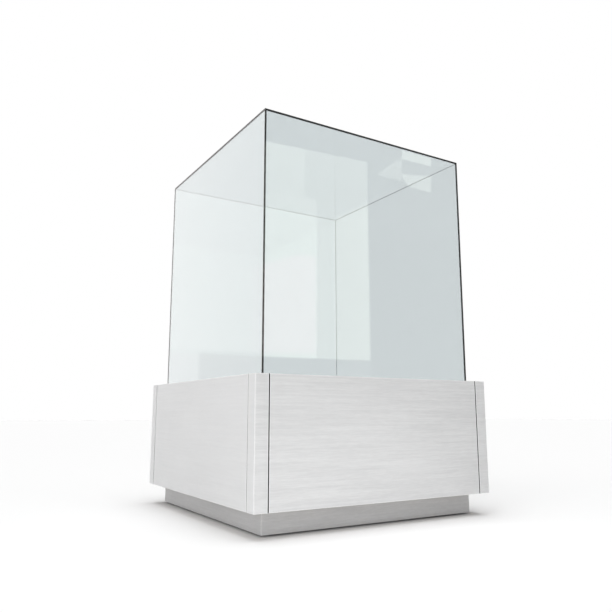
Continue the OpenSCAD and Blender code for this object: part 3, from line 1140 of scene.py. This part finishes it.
@dataclass
class Assembly:
    """A part of the case, whose new pieces stand for its CAD nodes."""

    palette: Palette

    def stand_in(
        self, piece: Object, slot: Slot, *names: str, body: str = Body.PLINTH.value
    ) -> None:
        """Dresses a new piece, puts it on its body and lets it stand for CAD nodes.

        Args:
            piece: the finished piece.
            slot: its finish.
            names: the nodes that it stands for.
            body: the body that it rides on.
        """
        self.palette.dress(piece, slot)
        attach(piece, body)
        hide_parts(*names)
        LOG.info("piece %s on %s for %s", piece.name, body, ", ".join(names))

    def ease_nodes(self, slot: Slot, width: float, *names: str, body: Body = Body.PLINTH) -> None:
        """Lets clean copies of plain CAD nodes, with every sharp edge eased, stand for them.

        Args:
            slot: their finish.
            width: how far their edges are eased.
            names: the nodes.
            body: the body that they ride on.
        """
        for name in names:
            copy = soften(fresh(name, f"{name}_eased"), width, 2, 40.0)
            self.stand_in(copy, slot, name, body=body.value)

    def ring(
        self, pattern: Object, slot: Slot, name: str, node: str, places: tuple[str, ...],
        first: int = 0, body: Body = Body.PLINTH,
    ) -> None:
        """Turns copies of a part round the case to stand for nodes, and drops the part.

        Args:
            pattern: the part on the front side or the front left corner.
            slot: their finish.
            name: how the names of the copies start.
            node: how the names of the nodes start.
            places: the sides or corners.
            first: the first place that gets a copy.
            body: the body that they ride on.
        """
        for quarter, place in enumerate(places[first:], first):
            made = copy_of(pattern, f"{name}_{place}", turn(quarter))
            self.stand_in(made, slot, f"{node}_{place}", body=body.value.format(place))
        bpy.data.objects.remove(pattern)


@dataclass
class KickBase(Assembly):
    """The recessed kick boards."""

    thickness: float = 0.018
    arris: float = 0.0014

    def build(self) -> None:
        """Models one mitred board and turns it to the four sides."""
        low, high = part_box("kick_front")
        board = mitred("kick", -low.y, -low.y - self.thickness, low.z, high.z)
        self.ring(soften(board, self.arris), Slot.KICK, "kick_board", "kick", SIDES)


@dataclass
class Skins(Assembly):
    """The corner posts and side panels that clad the plinth."""

    thickness: float = 0.018
    post_arris: float = 0.002
    panel_arris: float = 0.0012
    ease: float = 0.0003
    painted_from: float = 0.0012

    def post(self) -> Object:
        """Models the front left corner post.

        Returns:
            The finished post.
        """
        low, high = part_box("post_front_left")
        wall = low.y + self.thickness
        side = low.x + self.thickness
        painted_x, painted_y = low.x + self.painted_from, low.y + self.painted_from
        piece = block("post", low, Vector((high.x, wall, high.z)))
        with Bench(piece) as bench:
            bench.cut(X, side)
            bench.faces(lambda c, n: n.y > STRAIGHT and c.x < side)
            bench.extrude(0, high.y - wall, 0)
            bench.edges(lambda p: near(p.x, low.x) and near(p.y, low.y))
            bench.bevel(self.post_arris, 5)
            bench.cut(Y, painted_y)
            bench.cut(X, painted_x)
        # The faces in the gaps get painted black shade.
        self.palette.paint_gap_shade(
            piece,
            Slot.PANEL,
            lambda c, n: (near(c.x, high.x) and c.y > painted_y)
            or (near(c.y, high.y) and c.x > painted_x),
        )
        return soften(piece, self.ease, angle=BLUNT)

    def panel(self) -> Object:
        """Models a side panel on the front side.

        Returns:
            The finished panel.
        """
        low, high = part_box("panel_back")
        painted = self.painted_from - high.y
        piece = block("panel", Vector((low.x, -high.y, low.z)), Vector((high.x, -low.y, high.z)))
        with Bench(piece) as bench:
            bench.edges(lambda p: near(p.y, -high.y), "z")
            bench.bevel(self.panel_arris, 3)
            bench.cut(Y, painted)
        # The faces in the gaps get painted black shade.
        self.palette.paint_gap_shade(
            piece, Slot.PANEL, lambda c, n: near(abs(c.x), high.x) and c.y > painted
        )
        return soften(piece, self.ease, angle=BLUNT)

    def build(self) -> None:
        """Turns the post to four corners and the panel to three sides."""
        self.ring(self.post(), Slot.PANEL, "corner_post", "post", CORNERS)
        self.ring(self.panel(), Slot.PANEL, "side_panel", "panel", SIDES, 1)


@dataclass
class Boards(Assembly):
    """The deck, its rim rails and the boards inside."""

    ease: float = 0.0005

    def build(self) -> None:
        """Models the deck and the plain rim rails, and fits the other boards to their nodes."""
        deck = soften(block("deck_board", *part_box("display_deck")), self.ease)
        self.stand_in(deck, Slot.DECK, "display_deck")
        low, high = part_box("rim_front")
        rail = soften(mitred("rim", -low.y, -high.y, low.z, high.z), self.ease)
        front = copy_of(rail, "rim_rail_front")
        self.ring(rail, Slot.PANEL, "rim_rail", "rim", SIDES, 1)
        self.stand_in(fitted(front, "rim_front"), Slot.PANEL, "rim_front")
        for name in ("floor_board", "top_board"):
            board = soften(block(f"{name}_cut", *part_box(name)), self.ease)
            self.stand_in(fitted(board, name), Slot.FIBRE, name)


@dataclass
class Frame(Assembly):
    """The steel frame with its spacers, cleats, brackets and screws."""

    wall: float = 0.002
    tube: float = 0.025
    tube_corner: float = 0.003
    leg: float = 0.025
    bracket: float = 0.04
    bracket_ease: float = 0.0003
    hole: float = 0.0022
    screw_place: float = 0.015
    frame_reach: float = 0.2
    kick_reach: float = 0.181
    block_ease: float = 0.0008
    cleat_ease: float = 0.0005

    def square_tube(self, name: str, length: float) -> Object:
        """Models a square tube along +Z from the origin.

        Args:
            name: the piece's name.
            length: its length.

        Returns:
            The finished tube, open at both ends.
        """
        half = self.tube / 2
        piece = block(name, Vector((-half, -half, 0)), Vector((half, half, length)))
        with Bench(piece) as bench:
            bench.faces(lambda c, n: abs(n.z) > STRAIGHT)
            bpy.ops.mesh.delete(type="ONLY_FACE")
            bench.edges(along="z")
            bench.bevel(self.tube_corner, 3)
        wall = {"thickness": self.wall, "offset": -1.0, "use_even_offset": True}
        apply_modifier(piece, "SOLIDIFY", **wall)
        return shade(piece, ROUND)

    def angle_bracket(self) -> Object:
        """Models an angle bracket in the corner of the planes x = 0 and z = 0.

        Returns:
            The finished bracket, centred on y = 0.
        """
        half, wall = self.bracket / 2, self.wall
        piece = block("bracket", Vector((0, -half, 0)), Vector((self.leg, half, wall)))
        with Bench(piece) as bench:
            bench.cut(X, wall)
            bench.faces(lambda c, n: n.z > STRAIGHT and c.x < wall)
            bench.extrude(0, 0, self.leg - wall)
            for at, width, segments in ((0.0, wall, 4), (wall, wall / 2, 3)):
                bench.edges(lambda p: near(p.x, at) and near(p.z, at))
                bench.bevel(width, segments)
        for place in (move(self.screw_place), move(z=self.screw_place) @ spin(90, "Y")):
            carve(piece, lay(rod("drill", self.hole, 3 * PAST, 20, Z * -PAST), place))
        return soften(piece, self.bracket_ease, 1, BLUNT)

    def bracket_places(self) -> tuple[list[Matrix], list[Matrix]]:
        """Where the brackets stand.

        Returns:
            The places of the frame brackets and of the kick brackets.
        """
        low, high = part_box("frame_brackets")
        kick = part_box("kick_brackets")[1]
        stand = spin(90, "Z")
        hang = stand @ spin(180, "X")
        frame_places, kick_places = [], []
        for quarter in range(4):
            for side in (-1, 1):
                reach = side * self.frame_reach
                frame_places.append(turn(quarter) @ move(reach, -high.x, low.z) @ stand)
                frame_places.append(turn(quarter) @ move(reach, -high.x, high.z) @ hang)
                reach = side * self.kick_reach
                kick_places.append(turn(quarter) @ move(reach, -kick.x, kick.z) @ hang)
        return frame_places, kick_places

    def fixings(self) -> None:
        """Places the brackets and their screws."""
        frame_places, kick_places = self.bracket_places()
        bracket = self.angle_bracket()
        for node, places in (("frame_brackets", frame_places), ("kick_brackets", kick_places)):
            brackets = spread(copy_of(bracket, "bracket_pattern"), f"{node}_set", places)
            self.stand_in(brackets, Slot.ZINC, node)
        bpy.data.objects.remove(bracket)
        upright = move(self.screw_place, 0, self.wall)
        level = move(self.wall, 0, self.screw_place) @ spin(90, "Y")
        places = [at @ axis for at in frame_places + kick_places for axis in (upright, level)]
        screws = spread(CrossScrew().model(), "bracket_screw_set", places)
        self.stand_in(screws, Slot.SCREW, "bracket_screws")

    def build(self) -> None:
        """Builds the frame from the inside out."""
        low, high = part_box("upright_front_left")
        middle = (low + high) / 2
        upright = self.square_tube("tube", high.z - low.z)
        lay(upright, move(middle.x, middle.y, low.z))
        self.ring(upright, Slot.BLACK_STEEL, "frame_upright", "upright", CORNERS)
        for node in ("bottom_rails", "top_rails"):
            place = move(high.x, middle.y, middle_of(node).z) @ spin(90, "Y")
            places = [turn(quarter) @ place for quarter in range(4)]
            rails = spread(self.square_tube("rail", -2 * high.x), f"frame_{node}", places)
            self.stand_in(rails, Slot.BLACK_STEEL, node)
        self.ease_nodes(Slot.PLY, self.block_ease, "post_blocks")
        self.ease_nodes(Slot.ZINC, self.cleat_ease, "panel_cleats")
        self.fixings()


@dataclass
class Door(Assembly):
    """The push-to-open door with its pivot bushes."""

    panel_arris: float = 0.0012
    ease: float = 0.0003
    painted_from: float = 0.0012
    bush_ease: float = 0.0002
    notch_reach: float = 0.0053
    bore: float = 0.0041
    bore_half: float = 0.017
    turned: float = 0.3

    def leaf(self) -> Object:
        """Models the door with its round hinge edge and the notches for its pivots.

        Returns:
            The finished leaf.
        """
        low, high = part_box("door_panel")
        pin = middle_of("pivot_pins")
        bush_low, bush_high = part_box("pivot_bushes")
        painted = low.y + self.painted_from
        piece = block("door_leaf", low, high)
        with Bench(piece) as bench:
            bench.edges(lambda p: near(p.y, low.y), "z")
            bench.bevel(self.panel_arris, 3)
            bench.edges(lambda p: near(p.y, high.y) and near(p.x, high.x))
            bench.bevel(high.x - pin.x, 10)
            bench.cut(Y, painted)
        # The faces in the gaps get painted black shade.
        self.palette.paint_gap_shade(
            piece, Slot.PANEL, lambda c, n: abs(n.x) > self.turned > abs(n.z) and c.y > painted
        )
        for bottom, top in ((low.z - PAST, bush_low.z), (bush_high.z, high.z + PAST)):
            inner = Vector((pin.x - self.notch_reach, pin.y - self.notch_reach, bottom))
            outer = Vector((high.x + PAST, high.y + PAST, top))
            carve(piece, block("notch", inner, outer))
        for z in (bush_high.z, bush_low.z):
            foot = Vector((pin.x, pin.y, z - self.bore_half))
            carve(piece, rod("bore", self.bore, 2 * self.bore_half, 32, foot))
        return soften(piece, self.ease, angle=BLUNT)

    def build(self) -> None:
        """Models the leaf and eases the bushes on its pins."""
        self.stand_in(self.leaf(), Slot.PANEL, "door_panel", body=Body.DOOR.value)
        self.ease_nodes(Slot.NYLON, self.bush_ease, "pivot_bushes", body=Body.DOOR)


@dataclass
class Hardware(Assembly):
    """The door's pivots, its push latch and its bumpers."""

    plate_ease: float = 0.0003
    pin_ease: float = 0.0005
    screw_x: float = 0.0154
    screw_length: float = 0.0154
    screw_crown: float = 0.2
    case_edge: float = 0.002
    case_lip: float = 0.003
    case_groove: float = 0.0015
    case_sink: float = 0.0007
    case_ease: float = 0.0004
    bore_gap: float = 0.0001
    bore_start: float = 0.005
    bore_end: float = 0.004
    tip_edge: float = 0.0012
    tip_ring: float = 0.0012
    tip_hollow: float = 0.0008
    tip_ease: float = 0.0002
    strike_corner: float = 0.002
    strike_ease: float = 0.0003
    bumper_dome: float = 0.0026
    bumper_foot: float = 0.001
    bumper_neck: float = 0.0016
    bumper_sink: float = 0.0006

    def pivots(self) -> None:
        """Eases the plates and pins and models the sunk screws."""
        self.ease_nodes(Slot.PIVOT, self.plate_ease, "pivot_plate_bottom", "pivot_plate_top")
        self.ease_nodes(Slot.PIVOT, self.pin_ease, "pivot_pins")
        low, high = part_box("pivot_screws")
        middle = (low + high) / 2
        pattern = CrossScrew(self.screw_length, self.screw_crown)
        sunk = pattern.head_height
        places = []
        for side in (-1, 1):
            x = middle.x + side * self.screw_x
            places.append(move(x, middle.y, high.z - sunk))
            places.append(move(x, middle.y, low.z + sunk) @ spin(180, "X"))
        screws = spread(pattern.model(), "pivot_screw_set", places)
        self.stand_in(screws, Slot.SCREW, "pivot_screws")

    def case(self) -> Object:
        """Models the latch housing with its grooved collar and its bore.

        Returns:
            The finished housing.
        """
        low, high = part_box("latch_housing")
        tip_low, tip_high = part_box("latch_plunger")
        middle = (tip_low + tip_high) / 2
        start, end = low.y + self.case_lip, low.y + self.case_lip + self.case_groove
        piece = block("latch_case", low, high)
        with Bench(piece) as bench:
            bench.edges(along="y")
            bench.bevel(self.case_edge, 4)
            for y in (start, end):
                bench.cut(Y, y)
            bench.faces(lambda c, n: start < c.y < end)
            bench.swell(-self.case_sink)
        radius = (tip_high.x - tip_low.x) / 2 + self.bore_gap
        length = tip_high.y - low.y + self.bore_start + self.bore_end
        drill = rod("drill", radius, length, 40, Z * -self.bore_start)
        lay(drill, move(middle.x, low.y, middle.z) @ spin(-90, "X"))
        return soften(carve(piece, drill), self.case_ease, angle=BLUNT)

    def plunger(self) -> Object:
        """Models the latch plunger with its rounded, hollowed tip.

        Returns:
            The finished plunger.
        """
        low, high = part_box("latch_plunger")
        middle = (low + high) / 2
        radius = (high.x - low.x) / 2
        piece = rod("latch_pin", radius, high.y - low.y, 40)
        with Bench(piece) as bench:
            bench.faces(lambda c, n: n.z < -STRAIGHT)
            bench.inset(self.tip_ring + self.tip_edge)
            bench.extrude(0, 0, self.tip_hollow)
            bench.edges(lambda p: near(p.z, 0) and near(p.xy.length, radius))
            bench.bevel(self.tip_edge, 4)
        lay(piece, move(middle.x, low.y, middle.z) @ spin(-90, "X"))
        return soften(piece, self.tip_ease, angle=BLUNT)

    def strike(self) -> Object:
        """Models the strike plate with round corners.

        Returns:
            The finished plate.
        """
        piece = block("strike", *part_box("strike_plate"))
        with Bench(piece) as bench:
            bench.edges(along="y")
            bench.bevel(self.strike_corner, 5)
        return soften(piece, self.strike_ease, angle=BLUNT)

    def bumpers(self) -> Object:
        """Models one domed bumper and copies it.

        Returns:
            Both bumpers.
        """
        low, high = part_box("door_bumpers")
        radius, length = (high.x - low.x) / 2, high.y - low.y
        start, end = self.bumper_foot, self.bumper_foot + self.bumper_neck
        pattern = rod("bumper", radius, length)
        with Bench(pattern) as bench:
            for z in (start, end):
                bench.cut(Z, z)
            bench.faces(lambda c, n: start < c.z < end)
            bench.swell(-self.bumper_sink)
            bench.edges(lambda p: near(p.z, length))
            bench.bevel(self.bumper_dome, 6)
        lay(shade(pattern, BLUNT), spin(90, "X"))
        x = (low.x + high.x) / 2
        places = [move(x, high.y, z) for z in (low.z + radius, high.z - radius)]
        return spread(pattern, "bumper_pair", places)

    def build(self) -> None:
        """Builds the pivots, the latch and the bumpers."""
        self.pivots()
        self.stand_in(self.case(), Slot.DARK_PLASTIC, "latch_housing")
        self.stand_in(self.plunger(), Slot.NYLON, "latch_plunger", body=Body.LATCH.value)
        self.stand_in(self.strike(), Slot.PIVOT, "strike_plate", body=Body.DOOR.value)
        self.stand_in(self.bumpers(), Slot.RUBBER, "door_bumpers")


@dataclass
class Feet(Assembly):
    """The four levelling feet with their blocks and inserts."""

    rim: float = 0.004
    notch: float = 0.0009
    notch_from: float = 0.0008
    notch_step: float = 7.5
    sole: float = 0.0025
    sole_sink: float = 0.0008
    pad_ease: float = 0.0003
    pitch: float = 0.0015
    root: float = 0.0043
    steps: int = 20
    hex_height: float = 0.006
    hex_ease: float = 0.0005
    hex_over_thread: float = 1.8
    block_ease: float = 0.0008
    insert_ease: float = 0.0004

    def pad(self, radius: float, height: float, top: float) -> Object:
        """Models a pad with grip notches, a cone up to the hexagon and a hollow sole.

        Args:
            radius: the pad's radius.
            height: its height.
            top: radius of its upper face.

        Returns:
            The finished pad, on the origin.
        """
        piece = rod("pad", radius, self.rim, 48)
        with Bench(piece) as bench:
            bench.faces(lambda c, n: n.z > STRAIGHT)
            bench.extrude(0, 0, height - self.rim)
            bench.narrow(top / radius, height)
            bench.cut(Z, self.notch_from)
            bench.faces(lambda c, n: abs(n.z) < 0.1 and c.z > self.notch_from and self.notched(c))
            bench.swell(-self.notch)
            bench.faces(lambda c, n: n.z < -STRAIGHT and c.xy.length < self.notch)
            bench.inset(self.sole)
            bench.extrude(0, 0, self.sole_sink)
        return soften(piece, self.pad_ease, angle=BLUNT)

    def notched(self, middle: Vector) -> bool:
        """Whether a side face of the pad lies in a grip notch: two faces of every four."""
        return int(math.degrees(math.atan2(middle.y, middle.x)) // self.notch_step) % 4 < 2

    def thread(self, crest: float, low: float, high: float) -> Object:
        """Models an upright thread from a zigzag that is screwed round the axis.

        Args:
            crest: radius over the thread.
            low: its lower end.
            high: its upper end.

        Returns:
            The finished thread, on the axis.
        """
        bpy.ops.object.select_all(action="DESELECT")
        bpy.ops.mesh.primitive_circle_add(vertices=3, radius=crest, fill_type="NOTHING")
        piece = started("thread")
        tip = piece.data.vertices[1].co.copy()
        with Bench(piece) as bench:
            bench.edges(lambda p: not near((p - tip).length, 0))
            bpy.ops.mesh.delete(type="EDGE")
        zigzag = ((self.root, 0.0), (crest, 0.5), (self.root, 1.0))
        for vertex, (reach, rise) in zip(piece.data.vertices, zigzag):
            vertex.co = (reach, 0.0, low + (rise - 2.0) * self.pitch)
        turns = math.ceil((high - low) / self.pitch) + 4
        path = {"axis": "Z", "angle": math.tau, "screw_offset": self.pitch, "iterations": turns}
        apply_modifier(piece, "SCREW", **path, steps=self.steps, render_steps=self.steps)
        with Bench(piece) as bench:
            bench.everything()
            bpy.ops.mesh.remove_doubles(threshold=MERGE)
            bench.cut(Z, high, drop=True)
            bench.cut(-Z, -low, drop=True)
            bench.everything()
            bpy.ops.mesh.normals_make_consistent(inside=False)
        return shade(piece, ROUND)

    def stem(self, low: Vector, high: Vector) -> Object:
        """Models the hexagon and the thread that stands on it.

        Args:
            low: lowest corner of the foot's stem.
            high: its highest corner.

        Returns:
            The finished stem, on the axis.
        """
        radius = (high.x - low.x) / 2
        nut = rod("stem", radius, self.hex_height, 6, Z * low.z)
        soften(lay(nut, spin(30, "Z")), self.hex_ease)
        thread = self.thread(radius / self.hex_over_thread, low.z + self.hex_height / 2, high.z)
        return shade(carve(nut, thread, "UNION"), ROUND)

    def build(self) -> None:
        """Models one foot and turns it to the four corners."""
        pad_low, pad_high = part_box("foot_pad_front_left")
        stem_low, stem_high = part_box("foot_stem_front_left")
        at = (pad_low + pad_high) / 2
        top = (stem_high.x - stem_low.x) / 2
        pad = self.pad((pad_high.x - pad_low.x) / 2, pad_high.z, top)
        stem = self.stem(stem_low, stem_high)
        parts = (("pad", pad, Slot.FOOT_PLASTIC), ("stem", stem, Slot.FOOT_STEEL))
        for part, pattern, slot in parts:
            lay(pattern, move(at.x, at.y))
            self.ring(pattern, slot, f"levelling_{part}", f"foot_{part}", CORNERS, body=Body.FOOT)
        self.ease_nodes(Slot.PLY, self.block_ease, "foot_blocks")
        self.ease_nodes(Slot.BRASS, self.insert_ease, "foot_inserts")


@dataclass
class Hood(Assembly):
    """The glass hood with its black bonds, bars and gasket."""

    bar_ease: float = 0.0003
    gasket_ease: float = 0.0004

    def build(self) -> None:
        """Dresses the glass and its bonds, and eases the bars and the gasket."""
        for side in (*SIDES, "top"):
            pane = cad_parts[f"pane_{side}"]
            self.palette.dress(pane, Slot.GLASS)
            pane.visible_shadow = False
        for name in ("corner_bonds", "top_bonds"):
            self.palette.dress(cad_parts[name], Slot.BOND)
        self.ease_nodes(Slot.BAR, self.bar_ease, "hood_bars", body=Body.HOOD)
        self.ease_nodes(Slot.FOAM, self.gasket_ease, "hood_gasket")


# --------------------------------------------------------------------- studio


COOL: Colour = (0.965, 1.035, 0.89)
WARM: Colour = (1.03, 0.985, 0.965)
ROSY: Colour = (0.5, 0.08, 0.25)
PLAIN: Colour = (1.0, 1.0, 1.0)


def toward(azimuth: float, elevation: float) -> Vector:
    """The direction at an azimuth from +Y towards +X and an elevation, in degrees."""
    a, e = math.radians(azimuth), math.radians(elevation)
    return Vector((math.sin(a) * math.cos(e), math.cos(a) * math.cos(e), math.sin(e)))


@dataclass(frozen=True)
class Card:
    """A soft light card as glass and lacquer mirror it, by the directions of its corners."""

    corners: tuple[tuple[float, float], ...]
    level: float
    tone: Colour
    soft: float = 0.002

    def planes(self) -> list[Vector]:
        """The planes through the middle that bound the card, each facing inwards.

        Returns:
            Their normals.
        """
        points = [toward(*corner) for corner in self.corners]
        middle = sum(points, Vector())
        found = []
        for start, end in zip(points, points[1:] + points[:1]):
            normal = start.cross(end).normalized()
            found.append(normal if normal.dot(middle) > 0 else -normal)
        return found


@dataclass(frozen=True)
class Glow:
    """A broad soft glow of the studio's white cove, round one direction."""

    azimuth: float
    elevation: float
    narrow: float
    level: float

    def wire(self, graph: Graph, way: NodeSocket) -> NodeSocket:
        """Draws the glow over the directions of the world, and gives its light."""
        share = graph.math("MAXIMUM", graph.dot(way, toward(self.azimuth, self.elevation)), 0.0)
        return graph.times(graph.math("POWER", share, self.narrow), self.level)


@dataclass(frozen=True)
class Lamp:
    """A small soft lamp low in front of the case, which mirrors don't show."""

    place: tuple[float, float, float]
    aim: tuple[float, float, float]
    size: tuple[float, float]
    power: float

    def build(self) -> None:
        """Sets the lamp up."""
        lamp = bpy.data.lights.new("fill", "AREA")
        lamp.shape = "RECTANGLE"
        lamp.size, lamp.size_y = self.size
        lamp.energy = self.power
        made = bpy.data.objects.new("fill", lamp)
        bpy.context.scene.collection.objects.link(made)
        made.location = self.place
        way = Vector(self.aim) - Vector(self.place)
        made.rotation_euler = way.to_track_quat("-Z", "Y").to_euler()
        made.visible_camera = made.visible_glossy = made.visible_transmission = False


@dataclass
class Studio:
    """A plain white studio: floor, soft light and camera."""

    glows: tuple[Glow, ...] = (
        Glow(0.0, 90.0, 8.0, 4.62),
        Glow(250.0, 20.0, 6.0, 1.84),
        Glow(135.0, 30.0, 5.0, 0.35),
    )
    lamps: tuple[Lamp, ...] = (
        Lamp((-0.75, -0.85, 0.06), (-0.35, -0.38, 0.2), (0.3, 0.1), 0.62),
        Lamp((-0.08, -0.8, 0.12), (-0.08, -0.4, 0.1), (0.64, 0.06), 0.36),
    )
    dim: float = 0.6
    cards: tuple[Card, ...] = (
        Card(((142.59, 4.85), (142.59, 22.93), (170.0, 26.4), (170.0, 5.6)), 1.05, COOL),
        Card(((147.55, 5.0), (147.49, 19.65), (170.0, 22.8), (170.0, 5.6)), 0.55, COOL),
        Card(((148.66, 19.92), (148.66, 24.15), (170.0, 26.4), (170.0, 22.8)), 0.42, COOL),
        Card(((142.6, 4.85), (142.6, 19.2), (145.75, 17.9), (145.75, 4.9)), 0.9, COOL, 0.004),
        Card(
            ((147.63, 5.5), (147.6, 14.5), (149.14, 14.7), (153.6, 13.5), (153.6, 5.6)),
            0.8, ROSY, 0.005,
        ),
        Card(((141.7, 21.79), (139.21, 23.2), (139.27, 21.1)), 0.65, COOL),
        Card(((139.19, 23.8), (139.21, 23.03), (136.49, 22.19), (136.46, 22.92)), 1.3, COOL, 0.001),
        Card(
            ((139.26, 21.7), (139.08, 21.09), (138.53, 20.53), (136.58, 19.9), (136.52, 21.35)),
            1.1, COOL,
        ),
        Card(((-32.0, -20.0), (-32.0, 60.0), (-5.0, 60.0), (-5.0, -20.0)), 0.53, WARM, 0.01),
        Card(((-32.0, 5.5), (-32.0, 60.0), (-5.0, 60.0), (-5.0, 5.6)), 0.2, WARM, 0.005),
        Card(((-21.65, -20.0), (-21.65, 5.5), (-5.0, 5.6), (-5.0, -20.0)), 0.28, WARM, 0.005),
        Card(((-33.8, -20.0), (-33.8, 4.7), (-37.4, 4.7), (-37.4, -20.0)), 0.4, WARM, 0.004),
        Card(((-16.0, -89.0), (-16.0, 89.0), (130.0, 89.0), (130.0, -89.0)), 0.3, PLAIN, 0.03),
        Card(((166.0, -89.0), (166.0, 89.0), (309.0, 89.0), (309.0, -89.0)), 0.3, PLAIN, 0.03),
        Card(tuple((azimuth, 45.0) for azimuth in range(0, 360, 60)), 0.25, PLAIN, 0.05),
    )
    floor_half: float = 30.0
    lens: float = 36.347
    sensor: float = 36.0
    camera_place: tuple[float, float, float] = (-1.0917, -1.7709, 0.2995)
    camera_turn: tuple[float, float, float] = (99.92, 0.0, -31.441)

    def world(self) -> None:
        """Builds the light: soft white for matt surfaces, cards for mirrors, plain white behind."""
        made = bpy.data.worlds.new("studio")
        bpy.context.scene.world = made
        made.use_nodes = True
        graph = Graph(made.node_tree)
        way = graph.add("ShaderNodeTexCoord").outputs["Generated"]
        soft: Feed = 0.0
        for glow in self.glows:
            soft = graph.plus(soft, glow.wire(graph, way))
        mirrored: Feed = (self.dim,) * 3
        for card in self.cards:
            mask: Feed = card.level
            for plane in card.planes():
                mask = graph.times(mask, graph.span(graph.dot(way, plane), -card.soft, card.soft))
            lit = graph.vector("MULTIPLY", card.tone, graph.join(mask, mask, mask))
            mirrored = graph.vector("ADD", mirrored, lit)
        path = graph.add("ShaderNodeLightPath").outputs
        straight = graph.math("LESS_THAN", path["Diffuse Depth"], 0.5)
        bounced = graph.math("GREATER_THAN", path["Glossy Depth"], 0.5)
        travelled = graph.math("MAXIMUM", path["Is Glossy Ray"], path["Is Transmission Ray"])
        travelled = graph.times(travelled, straight)
        mirror = graph.times(travelled, bounced)
        seen = graph.math("SUBTRACT", travelled, mirror)
        seen = graph.math("MAXIMUM", seen, path["Is Camera Ray"])
        light = graph.mix(seen, graph.mix(mirror, soft, mirrored), (1.0, 1.0, 1.0))
        light = graph.add("ShaderNodeBackground", {0: light, 1: 1.0})
        graph.add("ShaderNodeOutputWorld", {0: light.outputs[0]})

    def floor(self) -> None:
        """Lays the plain pale floor."""
        bpy.ops.object.select_all(action="DESELECT")
        bpy.ops.mesh.primitive_plane_add(size=2 * self.floor_half, location=(0, 0, 0))
        ground = bpy.context.active_object
        ground.name = "studio_floor"
        ground.data.materials.append(StudioFloor().build("studio_floor"))

    def camera(self) -> None:
        """Places the camera at the height of a low tripod, in front and to the left."""
        lens = bpy.data.cameras.new("camera")
        lens.lens = self.lens
        lens.sensor_width = self.sensor
        made = bpy.data.objects.new("camera", lens)
        bpy.context.scene.collection.objects.link(made)
        made.location = self.camera_place
        made.rotation_euler = [math.radians(angle) for angle in self.camera_turn]
        bpy.context.scene.camera = made

    def build(self) -> None:
        """Builds the whole studio."""
        bpy.context.scene.view_settings.view_transform = "Standard"
        self.world()
        for lamp in self.lamps:
            lamp.build()
        self.floor()
        self.camera()


def main() -> None:
    """Builds the case round its frame."""
    logging.basicConfig(level=logging.INFO, format="%(name)s: %(message)s")
    palette = Palette()
    assemblies = (KickBase, Skins, Boards, Frame, Door, Hardware, Feet, Hood)
    for assembly in (*(kind(palette) for kind in assemblies), Studio()):
        assembly.build()
        LOG.info("built %s", type(assembly).__name__)


if __name__ == "__main__":
    main()
